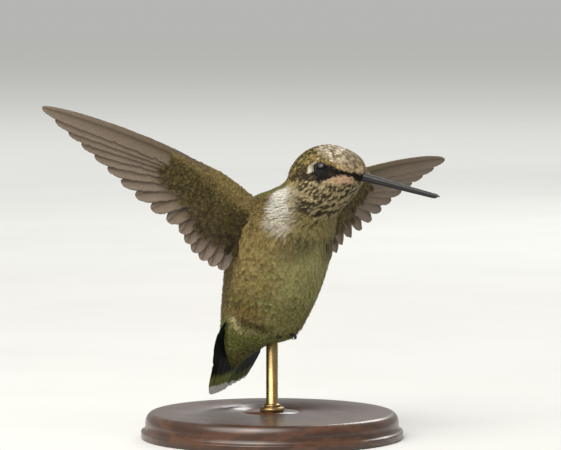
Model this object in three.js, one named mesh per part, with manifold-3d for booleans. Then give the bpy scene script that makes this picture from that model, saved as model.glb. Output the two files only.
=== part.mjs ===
// A ruby-throated hummingbird hovering with its wings raised and its head turned,
// life size, held by one short rod on a small round display stand.
// Millimetres, +Z up. The bird faces +X and its right side is -Y.
// The origin is the centre of the underside of the stand's base.
import * as THREE from 'three';
import { mergeVertices } from 'three/addons/utils/BufferGeometryUtils.js';
import Module from 'manifold-3d';

const wasm = await Module();
wasm.setup();

// ---------------------------------------------------------------- driving dimensions
const TRUNK_HEIGHT = 37; // middle of the trunk above the floor
const TRUNK_FORWARD = 1.5; // and in front of the stand's rod
const GAP = 0.3; // clearance between pieces that touch
const SEAM = 0.075; // half the cut between two lengths of the body, in profile rows

const NECK_PIVOT_X = 3; // upright axis about which the head turns
const HEAD_YAW = THREE.MathUtils.degToRad(22.5); // the head looks to the bird's left
const YAW_FROM_ROW = 10;
const YAW_TO_ROW = 15;
const HEAD_PITCH = THREE.MathUtils.degToRad(13); // bill below level
const HEAD_CENTRE = new THREE.Vector2(12.4, 20.95); // x and z from the middle of the trunk

const EYE_RADIUS = 2.03;
const EYE_FORWARD = 0.3;
const EYE_UP = -0.15;
const EYE_SIDE = 3.8;

const BILL_ROOT = 5.6; // where the bill starts inside the head, along the head's axis
const BILL_TIP = 25.6;
const BILL_HALF_HEIGHT = 1.15;
const BILL_HALF_WIDTH = 1.25;
const BILL_TIP_SHARE = 0.42; // size at the tip against the root
const BILL_SLIT = 0.12; // gap between the two mandibles
const LOWER_BILL_SHORTER = 0.5;

// Each wing hangs in an upright plane: swept back from straight sideways and raised.
const WINGS = {
  right: { side: -1, sweep: 25, raise: 24 },
  left: { side: 1, sweep: 3, raise: 8 },
};
const SHOULDER = new THREE.Vector3(0.5, 8, 12.8); // the left one
const WING_TWIST = THREE.MathUtils.degToRad(20); // how far the hand feathers lag at the tip
const WING_BEND = 1.5; // how far the wing bows back at its tip
const WRIST = new THREE.Vector2(8.5, -3); // along the span and the chord
const PRIMARY_COUNT = 10;
const PRIMARY_LONGEST = 41.5;
const PRIMARY_SHORTEST = 14.4;
const PRIMARY_HALF_WIDTH = 2.4;
const SECONDARY_COUNT = 6;
const SECONDARY_LENGTH = 14.3;
const SECONDARY_BULGE = 1.9;
const SECONDARY_HALF_WIDTH = 2.2;
const FEATHER_THICKNESS = 0.5;
const FEATHER_STEP = 0.1; // each feather lies this far behind the one before it
const FEATHER_SECTIONS = 6;

const TAIL_ROOT = new THREE.Vector3(-7.2, 0.45, -9.2);
const TAIL_PITCH = THREE.MathUtils.degToRad(62.5);
const TAIL_ROLL = THREE.MathUtils.degToRad(18); // the right side hangs lower
const ROLL_WHOLE_ROW = 1.5; // up to this row of the profile the body rolls with the tail
const ROLL_NONE_ROW = 5.5; // from this row on it doesn't
const TAIL_LENGTH = 20.9;
const TAIL_FEATHERS = 5; // on each side
const TAIL_HALF_WIDTH = 2.9; // of one feather
const TAIL_FAN = THREE.MathUtils.degToRad(0.6); // between neighbours at their tips
const TAIL_BOW = THREE.MathUtils.degToRad(25); // how far the outermost feathers bow outward
const TAIL_SPREAD = 1.4; // sideways between neighbours at the root
const TAIL_STEP_BACK = 0.12; // each outer feather ends this much shorter
const TAIL_SINK = 1.8; // the feathers' roots lie this far behind their tips, under the coverts
const TAIL_SINK_FROM = 5; // along the tail, where they begin to rise
const TAIL_SINK_TO = 14;

const LEG_RADIUS = 0.4;
const TOE_RADIUS = 0.28;
const TOE_LENGTH = 1.7;
const FRONT_TOE_TURN = 38; // degrees between neighbouring front toes

const BASE_RADIUS = 28;
const BASE_HEIGHT = 5.5;
const BASE_FOOT_HEIGHT = 1.7; // upright rim at the bottom of the base
const BASE_STEP = 0.9; // the round top stands back from the rim by this much
const BASE_STEP_HEIGHT = 0.5;
const BASE_CHAMFER = 0.4;
const BASE_SEGMENTS = 32;
const ROD_SEGMENTS = 16;
const BASE_ROUND_OUT = 1.65; // the rounded top edge, outward
const BASE_ROUND_UP = 2.3; // and upward
const ROD_RADIUS = 1.25;
const ROD_TOP = 28; // above the floor, inside the belly
const ROD_LIFT = 0.1; // the rod's foot stands this far off the base

// The body from the tip of the tail coverts to the root of the bill. Each row is one
// section: the point on the back, the point on the belly side (x and z from the middle
// of the trunk), and half the width.
const PROFILE = [
  { back: [-14.6, -22.0], front: [-13.2, -22.8], half: 1.6 },
  { back: [-15.0, -19.8], front: [-11.4, -21.3], half: 4.5 },
  { back: [-14.7, -17.0], front: [-8.4, -19.5], half: 6.3 },
  { back: [-14.2, -14.2], front: [-4.4, -17.5], half: 7.3 },
  { back: [-13.4, -11.4], front: [0.9, -16.2], half: 8.2 },
  { back: [-12.8, -8.2], front: [4.1, -13.4], half: 9.1 },
  { back: [-12.0, -4.2], front: [7.0, -9.0], half: 9.9 },
  { back: [-11.2, 0.4], front: [9.6, -3.8], half: 10.5 },
  { back: [-10.4, 4.8], front: [11.4, 1.2], half: 10.9 },
  { back: [-9.2, 8.8], front: [12.5, 5.2], half: 10.7 },
  { back: [-7.0, 12.2], front: [13.2, 7.6], half: 10.0 },
  { back: [-3.9, 14.8], front: [13.9, 9.5], half: 9.0 },
  { back: [0.4, 16.3], front: [14.8, 11.2], half: 7.9 },
  { back: [3.7, 18.1], front: [15.6, 12.4], half: 7.0 },
  { back: [4.7, 21.4], front: [16.4, 13.3], half: 6.2 },
  { back: [7.5, 24.4], front: [17.2, 14.1], half: 5.7 },
  { back: [11.7, 25.8], front: [17.9, 14.9], half: 5.4 },
  { back: [15.6, 25.2], front: [18.4, 15.6], half: 4.9 },
  { back: [18.6, 23.8], front: [18.9, 16.4], half: 4.0 },
  { back: [20.2, 22.0], front: [19.6, 17.4], half: 2.6 },
  { back: [20.7, 20.0], front: [20.5, 18.6], half: 0.9 },
];
const LAST_ROW = PROFILE.length - 1;

// Where the body is parted into named lengths, in profile rows.
const VENT_ROW = 3;
const WAIST_ROW = 7;
const SHOULDER_ROW = 11;
const NAPE_ROW = 14.3;
const ROUND_SEGMENTS = 26;
const RINGS_PER_ROW = 1.5;

// ---------------------------------------------------------------- materials
function paint(color, roughness, metalness) {
  return new THREE.MeshStandardMaterial({ color, roughness, metalness });
}
const plumageOlive = paint(0x7a6a4a, 0.8, 0);
const plumagePale = paint(0xb5ad98, 0.85, 0);
const plumageCrown = paint(0x9c937c, 0.8, 0);
const featherDark = paint(0x4b423b, 0.6, 0);
const tailBlack = paint(0x1c1d22, 0.5, 0);
const eyeBlack = paint(0x0b0a0c, 0.05, 0);
const billBlack = paint(0x17151a, 0.35, 0);
const footBlack = paint(0x211d1c, 0.6, 0);
const standWood = paint(0x4d2f1c, 0.35, 0);
const standMetal = paint(0xb08d4f, 0.3, 1);

// ---------------------------------------------------------------- curves of the body
function curveThrough(points) {
  return new THREE.CatmullRomCurve3(points, false, 'catmullrom', 0.5);
}
const backLine = curveThrough(PROFILE.map((row) => new THREE.Vector3(row.back[0], 0, row.back[1])));
const frontLine = curveThrough(PROFILE.map((row) => new THREE.Vector3(row.front[0], 0, row.front[1])));
const halfLine = curveThrough(PROFILE.map((row, index) => new THREE.Vector3(index, row.half, 0)));

function turnHead(point, share) {
  const x = point.x - NECK_PIVOT_X;
  const angle = HEAD_YAW * share;
  const turnedX = x * Math.cos(angle) - point.y * Math.sin(angle);
  const turnedY = x * Math.sin(angle) + point.y * Math.cos(angle);
  return new THREE.Vector3(NECK_PIVOT_X + turnedX, turnedY, point.z);
}

// A point of the body's surface, about the middle of the trunk. The angle is 0 on the
// back, a quarter turn on the left side and half a turn on the belly.
function bodyPoint(row, angle, inflate) {
  const t = THREE.MathUtils.clamp(row / LAST_ROW, 0, 1);
  const back = backLine.getPoint(t);
  const front = frontLine.getPoint(t);
  const half = halfLine.getPoint(t).y + inflate;
  const middle = back.clone().add(front).multiplyScalar(0.5);
  const rise = back.clone().sub(front).multiplyScalar(0.5);
  const up = (rise.length() + inflate) * Math.cos(angle);
  const left = half * Math.sin(angle);
  const withTail = 1 - THREE.MathUtils.smoothstep(row, ROLL_WHOLE_ROW, ROLL_NONE_ROW);
  const roll = TAIL_ROLL * withTail;
  const point = middle.addScaledVector(rise.normalize(), up * Math.cos(roll) + left * Math.sin(roll));
  point.y += left * Math.cos(roll) - up * Math.sin(roll) + TAIL_ROOT.y * withTail;
  return turnHead(point, THREE.MathUtils.smoothstep(row, YAW_FROM_ROW, YAW_TO_ROW));
}

// A point given along, up and to the left of the head's own axis.
function headPoint(forward, up, left) {
  const cos = Math.cos(HEAD_PITCH);
  const sin = Math.sin(HEAD_PITCH);
  const x = HEAD_CENTRE.x + forward * cos + up * sin;
  const z = HEAD_CENTRE.y - forward * sin + up * cos;
  return turnHead(new THREE.Vector3(x, left, z), 1);
}

// ---------------------------------------------------------------- closed meshes
// Joins rings of points into one closed body, with a fan over each end.
function loft(rings) {
  const around = rings[0].length;
  const points = rings.flat();
  const faces = [];
  for (let ring = 0; ring < rings.length - 1; ring += 1) {
    for (let step = 0; step < around; step += 1) {
      const next = (step + 1) % around;
      const a = ring * around + step;
      const b = ring * around + next;
      faces.push(a, b, b + around, a, b + around, a + around);
    }
  }
  const ends = [0, rings.length - 1];
  ends.forEach((ring) => {
    const middle = new THREE.Vector3();
    rings[ring].forEach((point) => middle.add(point));
    points.push(middle.divideScalar(around));
    const centre = points.length - 1;
    for (let step = 0; step < around; step += 1) {
      const a = ring * around + step;
      const b = ring * around + ((step + 1) % around);
      faces.push(centre, ...(ring === 0 ? [b, a] : [a, b]));
    }
  });
  const geometry = new THREE.BufferGeometry().setFromPoints(points);
  geometry.setIndex(faces);
  return facingOut(geometry);
}

// Turns every face over if the closed mesh is inside out.
function facingOut(geometry) {
  const place = geometry.getAttribute('position');
  const index = geometry.getIndex();
  let volume = 0;
  for (let face = 0; face < index.count; face += 3) {
    const a = new THREE.Vector3().fromBufferAttribute(place, index.getX(face));
    const b = new THREE.Vector3().fromBufferAttribute(place, index.getX(face + 1));
    const c = new THREE.Vector3().fromBufferAttribute(place, index.getX(face + 2));
    volume += a.dot(b.cross(c));
  }
  if (volume < 0) {
    const flipped = Array.from(index.array).reverse();
    geometry.setIndex(flipped);
  }
  return geometry;
}

function solidOf(geometry) {
  const bare = geometry.clone();
  bare.deleteAttribute('normal');
  bare.deleteAttribute('uv');
  const merged = mergeVertices(bare, 1e-4);
  return new wasm.Manifold(new wasm.Mesh({
    numProp: 3,
    vertProperties: new Float32Array(merged.getAttribute('position').array),
    triVerts: new Uint32Array(merged.getIndex().array),
  }));
}

function geometryOf(solid) {
  const mesh = solid.getMesh();
  const geometry = new THREE.BufferGeometry();
  geometry.setAttribute('position', new THREE.BufferAttribute(mesh.vertProperties, 3));
  geometry.setIndex(new THREE.BufferAttribute(mesh.triVerts, 1));
  return geometry;
}

function joined(solids) {
  return solids.reduce((all, solid) => all.add(solid));
}

// A tapering round rod through a few points.
function taperedTube(points, radiusAt, steps, around) {
  const curve = curveThrough(points);
  const frames = curve.computeFrenetFrames(steps, false);
  const rings = [];
  for (let step = 0; step <= steps; step += 1) {
    const centre = curve.getPointAt(step / steps);
    const radius = radiusAt(step / steps);
    const ring = [];
    for (let turn = 0; turn < around; turn += 1) {
      const angle = (turn / around) * Math.PI * 2;
      const point = centre.clone();
      point.addScaledVector(frames.normals[step], Math.cos(angle) * radius);
      point.addScaledVector(frames.binormals[step], Math.sin(angle) * radius);
      ring.push(point);
    }
    rings.push(ring);
  }
  return loft(rings);
}

// ---------------------------------------------------------------- body
function bodyLength(fromRow, toRow, inflate) {
  const count = Math.max(2, Math.round((toRow - fromRow) * RINGS_PER_ROW));
  const rings = [];
  for (let step = 0; step <= count; step += 1) {
    const row = THREE.MathUtils.lerp(fromRow, toRow, step / count);
    const ring = [];
    for (let turn = 0; turn < ROUND_SEGMENTS; turn += 1) {
      ring.push(bodyPoint(row, (turn / ROUND_SEGMENTS) * Math.PI * 2, inflate));
    }
    rings.push(ring);
  }
  return loft(rings);
}
const bodyWithClearance = solidOf(bodyLength(0, LAST_ROW, GAP));

// ---------------------------------------------------------------- eyes
function eyeGeometry(radius, side) {
  const ball = new THREE.SphereGeometry(radius, 12, 9);
  const centre = headPoint(EYE_FORWARD, EYE_UP, EYE_SIDE * side);
  return ball.translate(centre.x, centre.y, centre.z);
}

// ---------------------------------------------------------------- bill
// One mandible: a long half-round taper, flat on the side that meets its fellow.
function billGeometry(side, tip, inflate) {
  const steps = 8;
  const arc = 6;
  const rings = [];
  for (let step = 0; step <= steps; step += 1) {
    const share = step / steps;
    const along = THREE.MathUtils.lerp(BILL_ROOT - inflate, tip, share);
    const size = THREE.MathUtils.lerp(1, BILL_TIP_SHARE, Math.sqrt(share));
    const ring = [];
    for (let turn = 0; turn <= arc; turn += 1) {
      const angle = (turn / arc) * Math.PI;
      const left = Math.cos(angle) * (BILL_HALF_WIDTH * size + inflate);
      const up = Math.sin(angle) * (BILL_HALF_HEIGHT * size + inflate) + BILL_SLIT / 2 - inflate / 2;
      ring.push(headPoint(along, up * side, left));
    }
    rings.push(ring);
  }
  return loft(rings);
}

// ---------------------------------------------------------------- wings
// Gives the function that places a point of one wing: along its span, along its chord
// from the shoulder line, and out of its underside. The hand twists and bows back.
function wingPlacer({ side, sweep, raise }) {
  const swept = THREE.MathUtils.degToRad(sweep);
  const raised = THREE.MathUtils.degToRad(raise);
  const outward = new THREE.Vector3(-Math.sin(swept), side * Math.cos(swept), 0);
  const upward = new THREE.Vector3(0, 0, 1);
  const spanWay = outward.clone().multiplyScalar(Math.cos(raised));
  spanWay.addScaledVector(upward, Math.sin(raised));
  const chordWay = outward.clone().multiplyScalar(Math.sin(raised));
  chordWay.addScaledVector(upward, -Math.cos(raised));
  const faceWay = new THREE.Vector3(Math.cos(swept), side * Math.sin(swept), 0);
  return (span, chord, out) => {
    const twist = WING_TWIST * THREE.MathUtils.smoothstep(span, WRIST.x, PRIMARY_LONGEST);
    const reach = THREE.MathUtils.clamp((span - WRIST.x) / PRIMARY_LONGEST, 0, 1.2);
    const below = chord - WRIST.y;
    const point = new THREE.Vector3(SHOULDER.x, side * SHOULDER.y, SHOULDER.z);
    point.addScaledVector(spanWay, span);
    point.addScaledVector(chordWay, WRIST.y + below * Math.cos(twist) + out * Math.sin(twist));
    point.addScaledVector(faceWay, out * Math.cos(twist) - below * Math.sin(twist));
    point.addScaledVector(faceWay, -WING_BEND * reach * reach);
    return point;
  };
}

// Half the width of a vane at a share of its length: it fills out fast and ends round,
// or nearly square where the tip is blunt.
function vaneShape(share, bluntness) {
  const start = Math.min(1, 0.45 + share * 2.2);
  const end = Math.sqrt(Math.max(0, 1 - Math.pow(share, bluntness)));
  return start * Math.max(end, 0.16);
}

// A feather as a thin closed strip. The place function turns a flat point and a height
// into the point in space.
function featherGeometry(feather, place, inflate) {
  const rings = [];
  for (let step = 0; step <= FEATHER_SECTIONS; step += 1) {
    const share = 1 - Math.pow(1 - step / FEATHER_SECTIONS, 1.5);
    const angle = feather.angle + feather.curve * (share - 1);
    const reach = (feather.length + inflate) * share;
    const along = new THREE.Vector2(Math.cos(angle), Math.sin(angle)).multiplyScalar(reach);
    const across = new THREE.Vector2(-Math.sin(angle), Math.cos(angle));
    const half = feather.half * vaneShape(share, feather.bluntness) + inflate;
    const middle = feather.root.clone().add(along);
    const lead = middle.clone().addScaledVector(across, -half * feather.leadShare);
    const trail = middle.clone().addScaledVector(across, half * (2 - feather.leadShare));
    const low = feather.height - FEATHER_THICKNESS / 2 - inflate;
    const high = feather.height + FEATHER_THICKNESS / 2 + inflate;
    rings.push([
      place(lead.x, lead.y, low),
      place(trail.x, trail.y, low),
      place(trail.x, trail.y, high),
      place(lead.x, lead.y, high),
    ]);
  }
  return loft(rings);
}

// The ten hand feathers, from the long outermost to the short innermost one.
function primaryFeather(index) {
  const share = index / (PRIMARY_COUNT - 1);
  const reach = Math.pow(1 - share, 1.2);
  const degrees = 2 + 20 * share + 36 * Math.pow(share, 3.5);
  return {
    root: new THREE.Vector2(WRIST.x - 0.6 * share, WRIST.y + 0.5 * share + 0.4),
    length: THREE.MathUtils.lerp(PRIMARY_SHORTEST, PRIMARY_LONGEST, reach),
    angle: THREE.MathUtils.degToRad(degrees),
    curve: THREE.MathUtils.degToRad(7),
    half: PRIMARY_HALF_WIDTH * (0.8 + 0.2 * share),
    leadShare: THREE.MathUtils.lerp(0.6, 0.85, share),
    bluntness: 6,
    height: FEATHER_STEP * (PRIMARY_COUNT - 1 - index) - 0.5,
  };
}

// The arm feathers, from the wrist to the elbow.
function secondaryFeather(index) {
  return {
    root: new THREE.Vector2(WRIST.x - 0.9 - 1.15 * index, WRIST.y + 0.6 + 0.3 * index),
    length: SECONDARY_LENGTH + SECONDARY_BULGE * Math.sin((Math.PI * index) / 7),
    angle: THREE.MathUtils.degToRad(72 + 4.6 * index),
    curve: THREE.MathUtils.degToRad(8),
    half: SECONDARY_HALF_WIDTH,
    leadShare: 0.85,
    bluntness: 7,
    height: -0.5 - FEATHER_STEP * (index + 1),
  };
}

// The arm with its covert feathers: a thick lens from the shoulder that thins out over
// the roots of the flight feathers.
const ARM_STATIONS = [
  { span: -3.5, lead: -1.2, trail: 8.6, thick: 4.4 },
  { span: 0, lead: -2.2, trail: 8.6, thick: 4.2 },
  { span: 4, lead: -3.3, trail: 8.0, thick: 3.3 },
  { span: 8.5, lead: -4.2, trail: 6.2, thick: 2.4 },
  { span: 13, lead: -4.4, trail: 3.6, thick: 1.6 },
  { span: 18, lead: -4.3, trail: 0.6, thick: 1.1 },
];
const ARM_LIFT = 0.3; // the lens sits this far towards the wing's upper side

function armGeometry(place, inflate) {
  const around = 14;
  const rings = ARM_STATIONS.map((station) => {
    const ring = [];
    for (let turn = 0; turn < around; turn += 1) {
      const angle = (turn / around) * Math.PI * 2;
      const share = (1 - Math.cos(angle)) / 2;
      const halfThick = (station.thick / 2) * THREE.MathUtils.lerp(1.25, 0.5, share);
      const chord = THREE.MathUtils.lerp(station.lead - inflate, station.trail + inflate, share);
      const out = Math.sin(angle) * (halfThick + inflate) - ARM_LIFT;
      ring.push(place(station.span, chord, out));
    }
    return ring;
  });
  return loft(rings);
}

function flightFeathers(count, feather, place, inflate) {
  const solids = [];
  for (let index = 0; index < count; index += 1) {
    solids.push(solidOf(featherGeometry(feather(index), place, inflate)));
  }
  return joined(solids);
}

// ---------------------------------------------------------------- tail
// A point of the tail: along it, to the left across it, and out of its underside.
function tailPoint(along, left, out) {
  const alongWay = new THREE.Vector3(-Math.cos(TAIL_PITCH), 0, -Math.sin(TAIL_PITCH));
  const underWay = new THREE.Vector3(Math.sin(TAIL_PITCH), 0, -Math.cos(TAIL_PITCH));
  const sunk = TAIL_SINK * (1 - THREE.MathUtils.smoothstep(along, TAIL_SINK_FROM, TAIL_SINK_TO));
  const face = out - sunk;
  const point = TAIL_ROOT.clone().addScaledVector(alongWay, along);
  point.y += left * Math.cos(TAIL_ROLL) + face * Math.sin(TAIL_ROLL);
  point.addScaledVector(underWay, face * Math.cos(TAIL_ROLL) - left * Math.sin(TAIL_ROLL));
  return point;
}

function tailFeather(index, side) {
  return {
    root: new THREE.Vector2(0, side * (0.55 + TAIL_SPREAD * index)),
    length: TAIL_LENGTH - TAIL_STEP_BACK * Math.pow(index, 1.4),
    angle: side * TAIL_FAN * (index + 0.4),
    curve: -side * TAIL_BOW * (index / (TAIL_FEATHERS - 1)),
    half: TAIL_HALF_WIDTH,
    leadShare: side > 0 ? 1.1 : 0.9,
    bluntness: 9,
    height: 0.12 * index,
  };
}

function tailHalf(side, inflate) {
  const solids = [];
  for (let index = 0; index < TAIL_FEATHERS; index += 1) {
    solids.push(solidOf(featherGeometry(tailFeather(index, side), tailPoint, inflate)));
  }
  return joined(solids);
}

// ---------------------------------------------------------------- legs and feet
const LEG_PLACES = {
  right: { hip: new THREE.Vector3(-0.6, -3.2, -11.6), ankle: new THREE.Vector3(1.6, -1.9, -14.2) },
  left: { hip: new THREE.Vector3(-0.2, 2.8, -11.6), ankle: new THREE.Vector3(2.8, 1.4, -14.5) },
};

function legSolid(side, inflate) {
  const { hip, ankle } = LEG_PLACES[side];
  const middle = hip.clone().lerp(ankle, 0.5);
  return solidOf(taperedTube([hip, middle, ankle], () => LEG_RADIUS + inflate, 3, 8));
}

// Four slender toes that curl down from the ankle, three in front and a shorter one behind.
const TOES = [
  { turn: -FRONT_TOE_TURN, size: 1 },
  { turn: 0, size: 1 },
  { turn: FRONT_TOE_TURN, size: 1 },
  { turn: 180, size: 0.75 },
];
const TOE_START = new THREE.Vector3(0.3, 0, -0.4); // from the ankle
const TOE_KNUCKLE = { out: 0.45, down: 0.1 }; // shares of the toe's length
const TOE_TIP = { out: 0.6, down: 0.42 };
const TOE_TAPER = 0.25;

function footSolid(side, inflate) {
  const start = LEG_PLACES[side].ankle.clone().add(TOE_START);
  const toes = TOES.map(({ turn, size }) => {
    const angle = THREE.MathUtils.degToRad(turn);
    const forward = new THREE.Vector3(Math.cos(angle), Math.sin(angle), 0);
    const knuckle = start.clone().addScaledVector(forward, TOE_LENGTH * TOE_KNUCKLE.out * size);
    knuckle.z -= TOE_LENGTH * TOE_KNUCKLE.down;
    const tip = start.clone().addScaledVector(forward, TOE_LENGTH * TOE_TIP.out * size);
    tip.z -= TOE_LENGTH * TOE_TIP.down;
    const radiusAt = (share) => TOE_RADIUS * (1 - TOE_TAPER * share) + inflate;
    return solidOf(taperedTube([start, knuckle, tip], radiusAt, 3, 6));
  });
  return joined(toes);
}

// ---------------------------------------------------------------- stand
// A turned disc: a low rim, a small step and a rounded top edge.
function baseGeometry() {
  const topRadius = BASE_RADIUS - BASE_STEP;
  const profile = [new THREE.Vector2(0, 0), new THREE.Vector2(BASE_RADIUS - BASE_CHAMFER, 0)];
  profile.push(new THREE.Vector2(BASE_RADIUS, BASE_CHAMFER));
  profile.push(new THREE.Vector2(BASE_RADIUS, BASE_FOOT_HEIGHT));
  profile.push(new THREE.Vector2(topRadius, BASE_FOOT_HEIGHT + BASE_STEP_HEIGHT));
  const arcSteps = 3;
  for (let step = 0; step <= arcSteps; step += 1) {
    const angle = (step / arcSteps) * (Math.PI / 2);
    const radius = topRadius - BASE_ROUND_OUT * (1 - Math.cos(angle));
    profile.push(new THREE.Vector2(radius, BASE_HEIGHT - BASE_ROUND_UP * (1 - Math.sin(angle))));
  }
  profile.push(new THREE.Vector2(0, BASE_HEIGHT));
  return new THREE.LatheGeometry(profile, BASE_SEGMENTS).rotateX(Math.PI / 2);
}

function rodGeometry(radius, bottom, top) {
  const cylinder = new THREE.CylinderGeometry(radius, radius, top - bottom, ROD_SEGMENTS);
  return cylinder.rotateX(Math.PI / 2).translate(0, 0, (top + bottom) / 2);
}

// ---------------------------------------------------------------- assembly
const group = new THREE.Group();
const bird = new THREE.Group();
bird.position.set(TRUNK_FORWARD, 0, TRUNK_HEIGHT);
group.add(bird);

function addMesh(parent, name, geometry, material) {
  const mesh = new THREE.Mesh(geometry, material);
  mesh.name = name;
  parent.add(mesh);
}

const rodClearance = rodGeometry(ROD_RADIUS + GAP, BASE_HEIGHT, ROD_TOP + GAP);
rodClearance.translate(-TRUNK_FORWARD, 0, -TRUNK_HEIGHT);
const footClearances = { right: footSolid('right', GAP), left: footSolid('left', GAP) };
const legRoom = joined([legSolid('right', GAP), legSolid('left', GAP)]);
const footRoom = joined([footClearances.right, footClearances.left]);
const bellyRoom = joined([solidOf(rodClearance), legRoom, footRoom]);

const belly = solidOf(bodyLength(VENT_ROW + SEAM, WAIST_ROW - SEAM, 0));
addMesh(bird, 'belly', geometryOf(belly.subtract(bellyRoom)), plumagePale);
addMesh(bird, 'tail_coverts', bodyLength(0, VENT_ROW - SEAM, 0), plumageOlive);
addMesh(bird, 'breast', bodyLength(WAIST_ROW + SEAM, SHOULDER_ROW - SEAM, 0), plumagePale);
addMesh(bird, 'neck', bodyLength(SHOULDER_ROW + SEAM, NAPE_ROW - SEAM, 0), plumagePale);

let head = solidOf(bodyLength(NAPE_ROW + SEAM, LAST_ROW, 0));
[1, -1].forEach((side) => {
  head = head.subtract(solidOf(eyeGeometry(EYE_RADIUS + GAP, side)));
  head = head.subtract(solidOf(billGeometry(side, BILL_TIP, GAP)));
});
addMesh(bird, 'head', geometryOf(head), plumageCrown);
addMesh(bird, 'eye_left', eyeGeometry(EYE_RADIUS, 1), eyeBlack);
addMesh(bird, 'eye_right', eyeGeometry(EYE_RADIUS, -1), eyeBlack);
addMesh(bird, 'bill_upper', billGeometry(1, BILL_TIP, 0), billBlack);
addMesh(bird, 'bill_lower', billGeometry(-1, BILL_TIP - LOWER_BILL_SHORTER, 0), billBlack);

Object.entries(WINGS).forEach(([name, wing]) => {
  const place = wingPlacer(wing);
  const armClearance = solidOf(armGeometry(place, GAP));
  const arm = solidOf(armGeometry(place, 0)).subtract(bodyWithClearance);
  const primaries = flightFeathers(PRIMARY_COUNT, primaryFeather, place, 0).subtract(armClearance);
  const taken = flightFeathers(PRIMARY_COUNT, primaryFeather, place, GAP).add(armClearance);
  const secondaries = flightFeathers(SECONDARY_COUNT, secondaryFeather, place, 0)
    .subtract(taken.add(bodyWithClearance));
  addMesh(bird, `wing_${name}_arm`, geometryOf(arm), featherDark);
  addMesh(bird, `wing_${name}_primaries`, geometryOf(primaries), featherDark);
  addMesh(bird, `wing_${name}_secondaries`, geometryOf(secondaries), featherDark);
});

const tailRightSpace = bodyWithClearance.add(tailHalf(1, GAP));
addMesh(bird, 'tail_left', geometryOf(tailHalf(1, 0).subtract(bodyWithClearance)), tailBlack);
addMesh(bird, 'tail_right', geometryOf(tailHalf(-1, 0).subtract(tailRightSpace)), tailBlack);

['right', 'left'].forEach((side) => {
  addMesh(bird, `leg_${side}`, geometryOf(legSolid(side, 0).subtract(footClearances[side])), footBlack);
  addMesh(bird, `foot_${side}`, geometryOf(footSolid(side, 0)), footBlack);
});

addMesh(group, 'stand_base', baseGeometry(), standWood);
addMesh(group, 'stand_rod', rodGeometry(ROD_RADIUS, BASE_HEIGHT + ROD_LIFT, ROD_TOP), standMetal);

export default group;
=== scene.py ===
"""A ruby-throated hummingbird, hovering, on a plain display stand.

Lengths are millimetres from the middle of the bird's trunk, with the body facing +X, until
a mesh is made: it then goes to metres in the shared frame.
"""
import math
import bpy
import numpy as np
from mathutils import Matrix, Vector
from mathutils.kdtree import KDTree


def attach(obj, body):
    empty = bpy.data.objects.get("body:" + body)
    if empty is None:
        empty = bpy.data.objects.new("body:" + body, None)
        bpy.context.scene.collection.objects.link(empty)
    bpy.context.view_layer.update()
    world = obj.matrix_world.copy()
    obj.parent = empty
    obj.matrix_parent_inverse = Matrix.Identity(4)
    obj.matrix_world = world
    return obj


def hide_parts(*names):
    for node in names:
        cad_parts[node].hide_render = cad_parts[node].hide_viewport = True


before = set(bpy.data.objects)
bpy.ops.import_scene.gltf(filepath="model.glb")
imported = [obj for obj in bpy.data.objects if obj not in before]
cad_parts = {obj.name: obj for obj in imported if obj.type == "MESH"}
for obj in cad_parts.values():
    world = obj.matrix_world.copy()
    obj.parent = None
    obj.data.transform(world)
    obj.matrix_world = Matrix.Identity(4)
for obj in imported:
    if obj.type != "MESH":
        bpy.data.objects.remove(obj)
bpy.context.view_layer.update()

MM = 0.001  # of a metre

# -------- sizes shared with the construction
TRUNK = np.array([1.5, 0.0, 37.0])  # the middle of the trunk in the frame

NECK_PIVOT_X = 3.0  # the head turns about an upright line here
HEAD_YAW = math.radians(22.5)
YAW_ROWS = (10.0, 15.0)  # the neck isn't turned up to the first, and fully from the second
HEAD_PITCH = math.radians(13.0)
HEAD_CENTRE = (12.4, 20.95)  # x and z, before the head turns

EYE_RADIUS = 2.03
EYE_PLACE = (0.3, -0.15, 3.8)  # forward, up and out from the head's centre
LID_RADIUS = 1.4
LID_OUT = 1.45  # from the eye's middle

BILL_ROOT = 5.6
BILL_TIP = 25.6
BILL_HALF_HEIGHT = 1.15
BILL_HALF_WIDTH = 1.25
BILL_TIP_SHARE = 0.42
BILL_SLIT = 0.12
LOWER_BILL_SHORTER = 0.5
BILL_INSIDE = 0.97  # of the construction's height and width

WINGS = {
    "right": {"side": -1, "sweep": 25.0, "raise": 24.0},
    "left": {"side": 1, "sweep": 3.0, "raise": 8.0},
}
SHOULDER = (0.5, 8.0, 12.8)
WING_TWIST = math.radians(20.0)
WING_BEND = 1.5  # of the hand, away from its underside
WRIST = (8.5, -3.0)  # along the span and the chord
PRIMARY_COUNT = 10
PRIMARY_LONGEST = 41.5
PRIMARY_SHORTEST = 14.4
PRIMARY_HALF_WIDTH = 2.4
SECONDARY_COUNT = 6
SECONDARY_LENGTH = 14.3
SECONDARY_BULGE = 1.9
SECONDARY_HALF_WIDTH = 2.2

TAIL_ROOT = np.array([-7.2, 0.45, -9.2])
TAIL_PITCH = math.radians(62.5)
TAIL_ROLL = math.radians(18.0)
ROLL_ROWS = (1.5, 5.5)  # the body rolls with the tail up to the first and not from the second
TAIL_LENGTH = 20.9
TAIL_FEATHERS = 5
TAIL_HALF_WIDTH = 2.9
TAIL_FAN = math.radians(0.6)
TAIL_BOW = math.radians(25.0)
TAIL_SPREAD = 1.4
TAIL_STEP_BACK = 0.12
TAIL_SINK = 1.8
SINK_REACH = (5.0, 14.0)  # the roots lie sunk up to the first and no more from the second

LEG_RADIUS = 0.4
TOE_RADIUS = 0.28
TOE_LENGTH = 1.7
LEGS = {
    "right": {"hip": (-0.6, -3.2, -11.6), "ankle": (1.6, -1.9, -14.2)},
    "left": {"hip": (-0.2, 2.8, -11.6), "ankle": (2.8, 1.4, -14.5)},
}

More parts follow.
